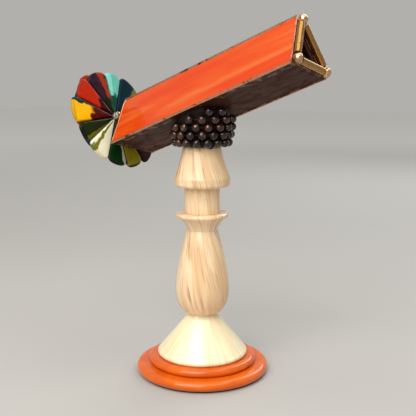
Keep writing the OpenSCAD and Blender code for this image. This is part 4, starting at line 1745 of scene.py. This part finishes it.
@dataclass
class Studio:
    """A pale floor, soft lights and the camera.

    Each softbox is a name, its azimuth from the camera and its elevation in degrees, its
    distance, width and height in metres, its power in watts and its colour.
    """

    azimuth: float = 33.25
    elevation: float = 9.5
    distance: float = 0.6291
    target: tuple[float, float, float] = (0.0042, 0.0027, 0.1446)
    lens: float = 63.4
    sensor: float = 36.0
    floor: float = 12.0
    sky: Color = (0.8, 0.79, 0.76)
    sky_strength: float = 0.55
    softboxes: tuple = (("front_softbox", -25, 38, 1.5, 1.2, 1.2, 22.0, (1.0, 0.97, 0.93)),
                        ("overhead_softbox", 10, 80, 1.3, 1.4, 1.4, 12.0, (1.0, 0.98, 0.95)),
                        ("rim_softbox", 150, 35, 1.6, 0.9, 0.9, 7.0, (0.95, 0.97, 1.0)))

    def build(self) -> None:
        """Sets up the floor, the world, the lights and the camera."""
        self.make_floor()
        scene = bpy.context.scene
        scene.world = bpy.data.worlds.new("studio_world")
        scene.world.use_nodes = True
        back = scene.world.node_tree.nodes["Background"].inputs
        back["Color"].default_value = (*self.sky, 1.0)
        back["Strength"].default_value = self.sky_strength
        scene.view_settings.view_transform = "Standard"
        for name, azimuth, elevation, distance, width, height, power, color in self.softboxes:
            light = bpy.data.lights.new(name, "AREA")
            light.shape = "RECTANGLE"
            light.size, light.size_y, light.energy, light.color = width, height, power, color
            self.aimed(name, light, self.azimuth + azimuth, elevation, distance, (0, 0, 0.15))
        lens = bpy.data.cameras.new("studio_camera")
        lens.lens, lens.sensor_width = self.lens, self.sensor
        scene.camera = self.aimed("studio_camera", lens, self.azimuth, self.elevation, self.distance,
                                  self.target)

    @staticmethod
    def aimed(name: str, data: bpy.types.ID, azimuth: float, elevation: float, distance: float,
              middle: tuple) -> bpy.types.Object:
        """A light or a camera that looks at a point.

        Args:
            name: its name.
            data: its light or camera.
            azimuth: where it stands, in degrees from the front.
            elevation: how high, in degrees.
            distance: how far from the point, in metres.
            middle: the point.

        Returns:
            The new object.
        """
        a, e = math.radians(azimuth), math.radians(elevation)
        way = Vector((math.sin(a) * math.cos(e), -math.cos(a) * math.cos(e), math.sin(e)))
        thing = bpy.data.objects.new(name, data)
        thing.location = Vector(middle) + way * distance
        thing.rotation_mode = "QUATERNION"
        thing.rotation_quaternion = (-way).to_track_quat("-Z", "Y")
        bpy.context.scene.collection.objects.link(thing)
        return thing

    def make_floor(self) -> None:
        """A wide pale floor, a little uneven in tone, that runs evenly into the world far out."""
        s = self.floor / 2
        mesh = bpy.data.meshes.new("studio_floor")
        mesh.from_pydata([(-s, -s, 0), (s, -s, 0), (s, s, 0), (-s, s, 0)], [], [(0, 1, 2, 3)])
        f = Finish("pale_floor", Gloss(roughness=0.75))
        far = f.between(f.vector("LENGTH", f.here, out="Value"), 0.5, 3.2)
        near = f.mix(f.noise(f.here, 3.0, 4.0), (0.4, 0.39, 0.37), (0.43, 0.42, 0.4))
        grit = f.bump(f.noise(f.here, 600.0, 2.0), 0.05, 0.0005)
        mesh.materials.append(f.done(f.mix(far, near, (0.97, 0.96, 0.93)), None, grit))
        floor = bpy.data.objects.new("studio_floor", mesh)
        bpy.context.scene.collection.objects.link(floor)


# ---------------------------------------------------------------- everything


def dress_nodes(nodes: dict[str, Piece], palette: Palette) -> None:
    """Gives the frame nodes that stay in view their finishes.

    Args:
        nodes: the frame's nodes by name.
        palette: the finishes.
    """
    finishes = {
        palette.steel: ("stand_rod", "base_washer", "base_nut", "top_washer", "top_nut"),
        palette.nylon: ("thrust_washer",),
        palette.brass.finish: ("swivel_bush",),
        palette.dark_metal.finish: ("bead_drum",),
        palette.clear: ("object_glass", "near_disc", "far_disc"),
        palette.smoked: ("eyepiece_glass",),
        palette.mirror: ("front_mirror", "back_mirror", "bottom_mirror"),
        palette.foam: ("mirror_packing",),
    }
    for finish, names in finishes.items():
        for name in names:
            nodes[name].data.materials.clear()
            nodes[name].data.materials.append(finish)


# Each petal: where it starts and ends in degrees, its tip's distance in millimetres, then its
# glass and frame node on the near wheel and on the far wheel, which is FAR_CUT smaller.
FAR_CUT = 7.0
FAR_TURN = 197.0
SECTORS = (
    (109, 144, 47.5, Hue.BLUE, "near_blue", Hue.COBALT, "far_blue"),
    (176, 207, 48, Hue.COBALT, "near_blue", Hue.BLUE, "far_blue"),
    (82, 109, 44, Hue.TURQUOISE, "near_turquoise", Hue.SMOKE, "far_plum"),
    (43, 82, 43.5, Hue.PLUM, "near_plum", Hue.PLUM, "far_plum"),
    (12, 43, 46.5, Hue.RED, "near_red", Hue.WINE, "far_red"),
    (144, 176, 48, Hue.ORANGE, "near_red", Hue.RED, "far_red"),
    (207, 233, 52, Hue.WINE, "near_red", Hue.RED, "far_red"),
    (-17, 12, 52.5, Hue.YELLOW, "near_yellow", Hue.AMBER, "far_yellow"),
    (233, 262, 48.5, Hue.AMBER, "near_yellow", Hue.YELLOW, "far_yellow"),
    (-39, -17, 50, Hue.GREEN, "near_green", Hue.MOSS, "far_green"),
    (262, 292, 47, Hue.MOSS, "near_green", Hue.GREEN, "far_green"),
    (292, 321, 49.5, Hue.CREAM, "near_cream", Hue.CREAM, "far_cream"),
)


def main() -> None:
    """Builds every sub-assembly."""
    logging.basicConfig(level=logging.INFO, format="%(message)s")
    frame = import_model()
    nodes = frame["nodes"]
    tube = TubeAxes.from_frame(frame)
    axle = axle_axes(frame, tube)
    palette = Palette(tube)
    Studio().build()
    dress_nodes(nodes, palette)
    Pedestal(palette).build()
    BeadCollar(palette, tube, nodes).build()
    StainedTube(palette, tube).build()
    TubeEnds(palette, tube).build()
    AxleWork(palette, axle, nodes).build()
    near = [(start, end, tip, hue, node) for start, end, tip, hue, node, _, _ in SECTORS]
    far = [(start, end, tip - FAR_CUT, hue, node) for start, end, tip, _, _, hue, node in SECTORS]
    for name, turn, petals in (("near", 0.0, near), ("far", FAR_TURN, far)):
        FusedWheel(palette, axle, name, reach(axle, nodes[name + "_hub"])[0], turn, petals).build()


if __name__ == "__main__":
    main()
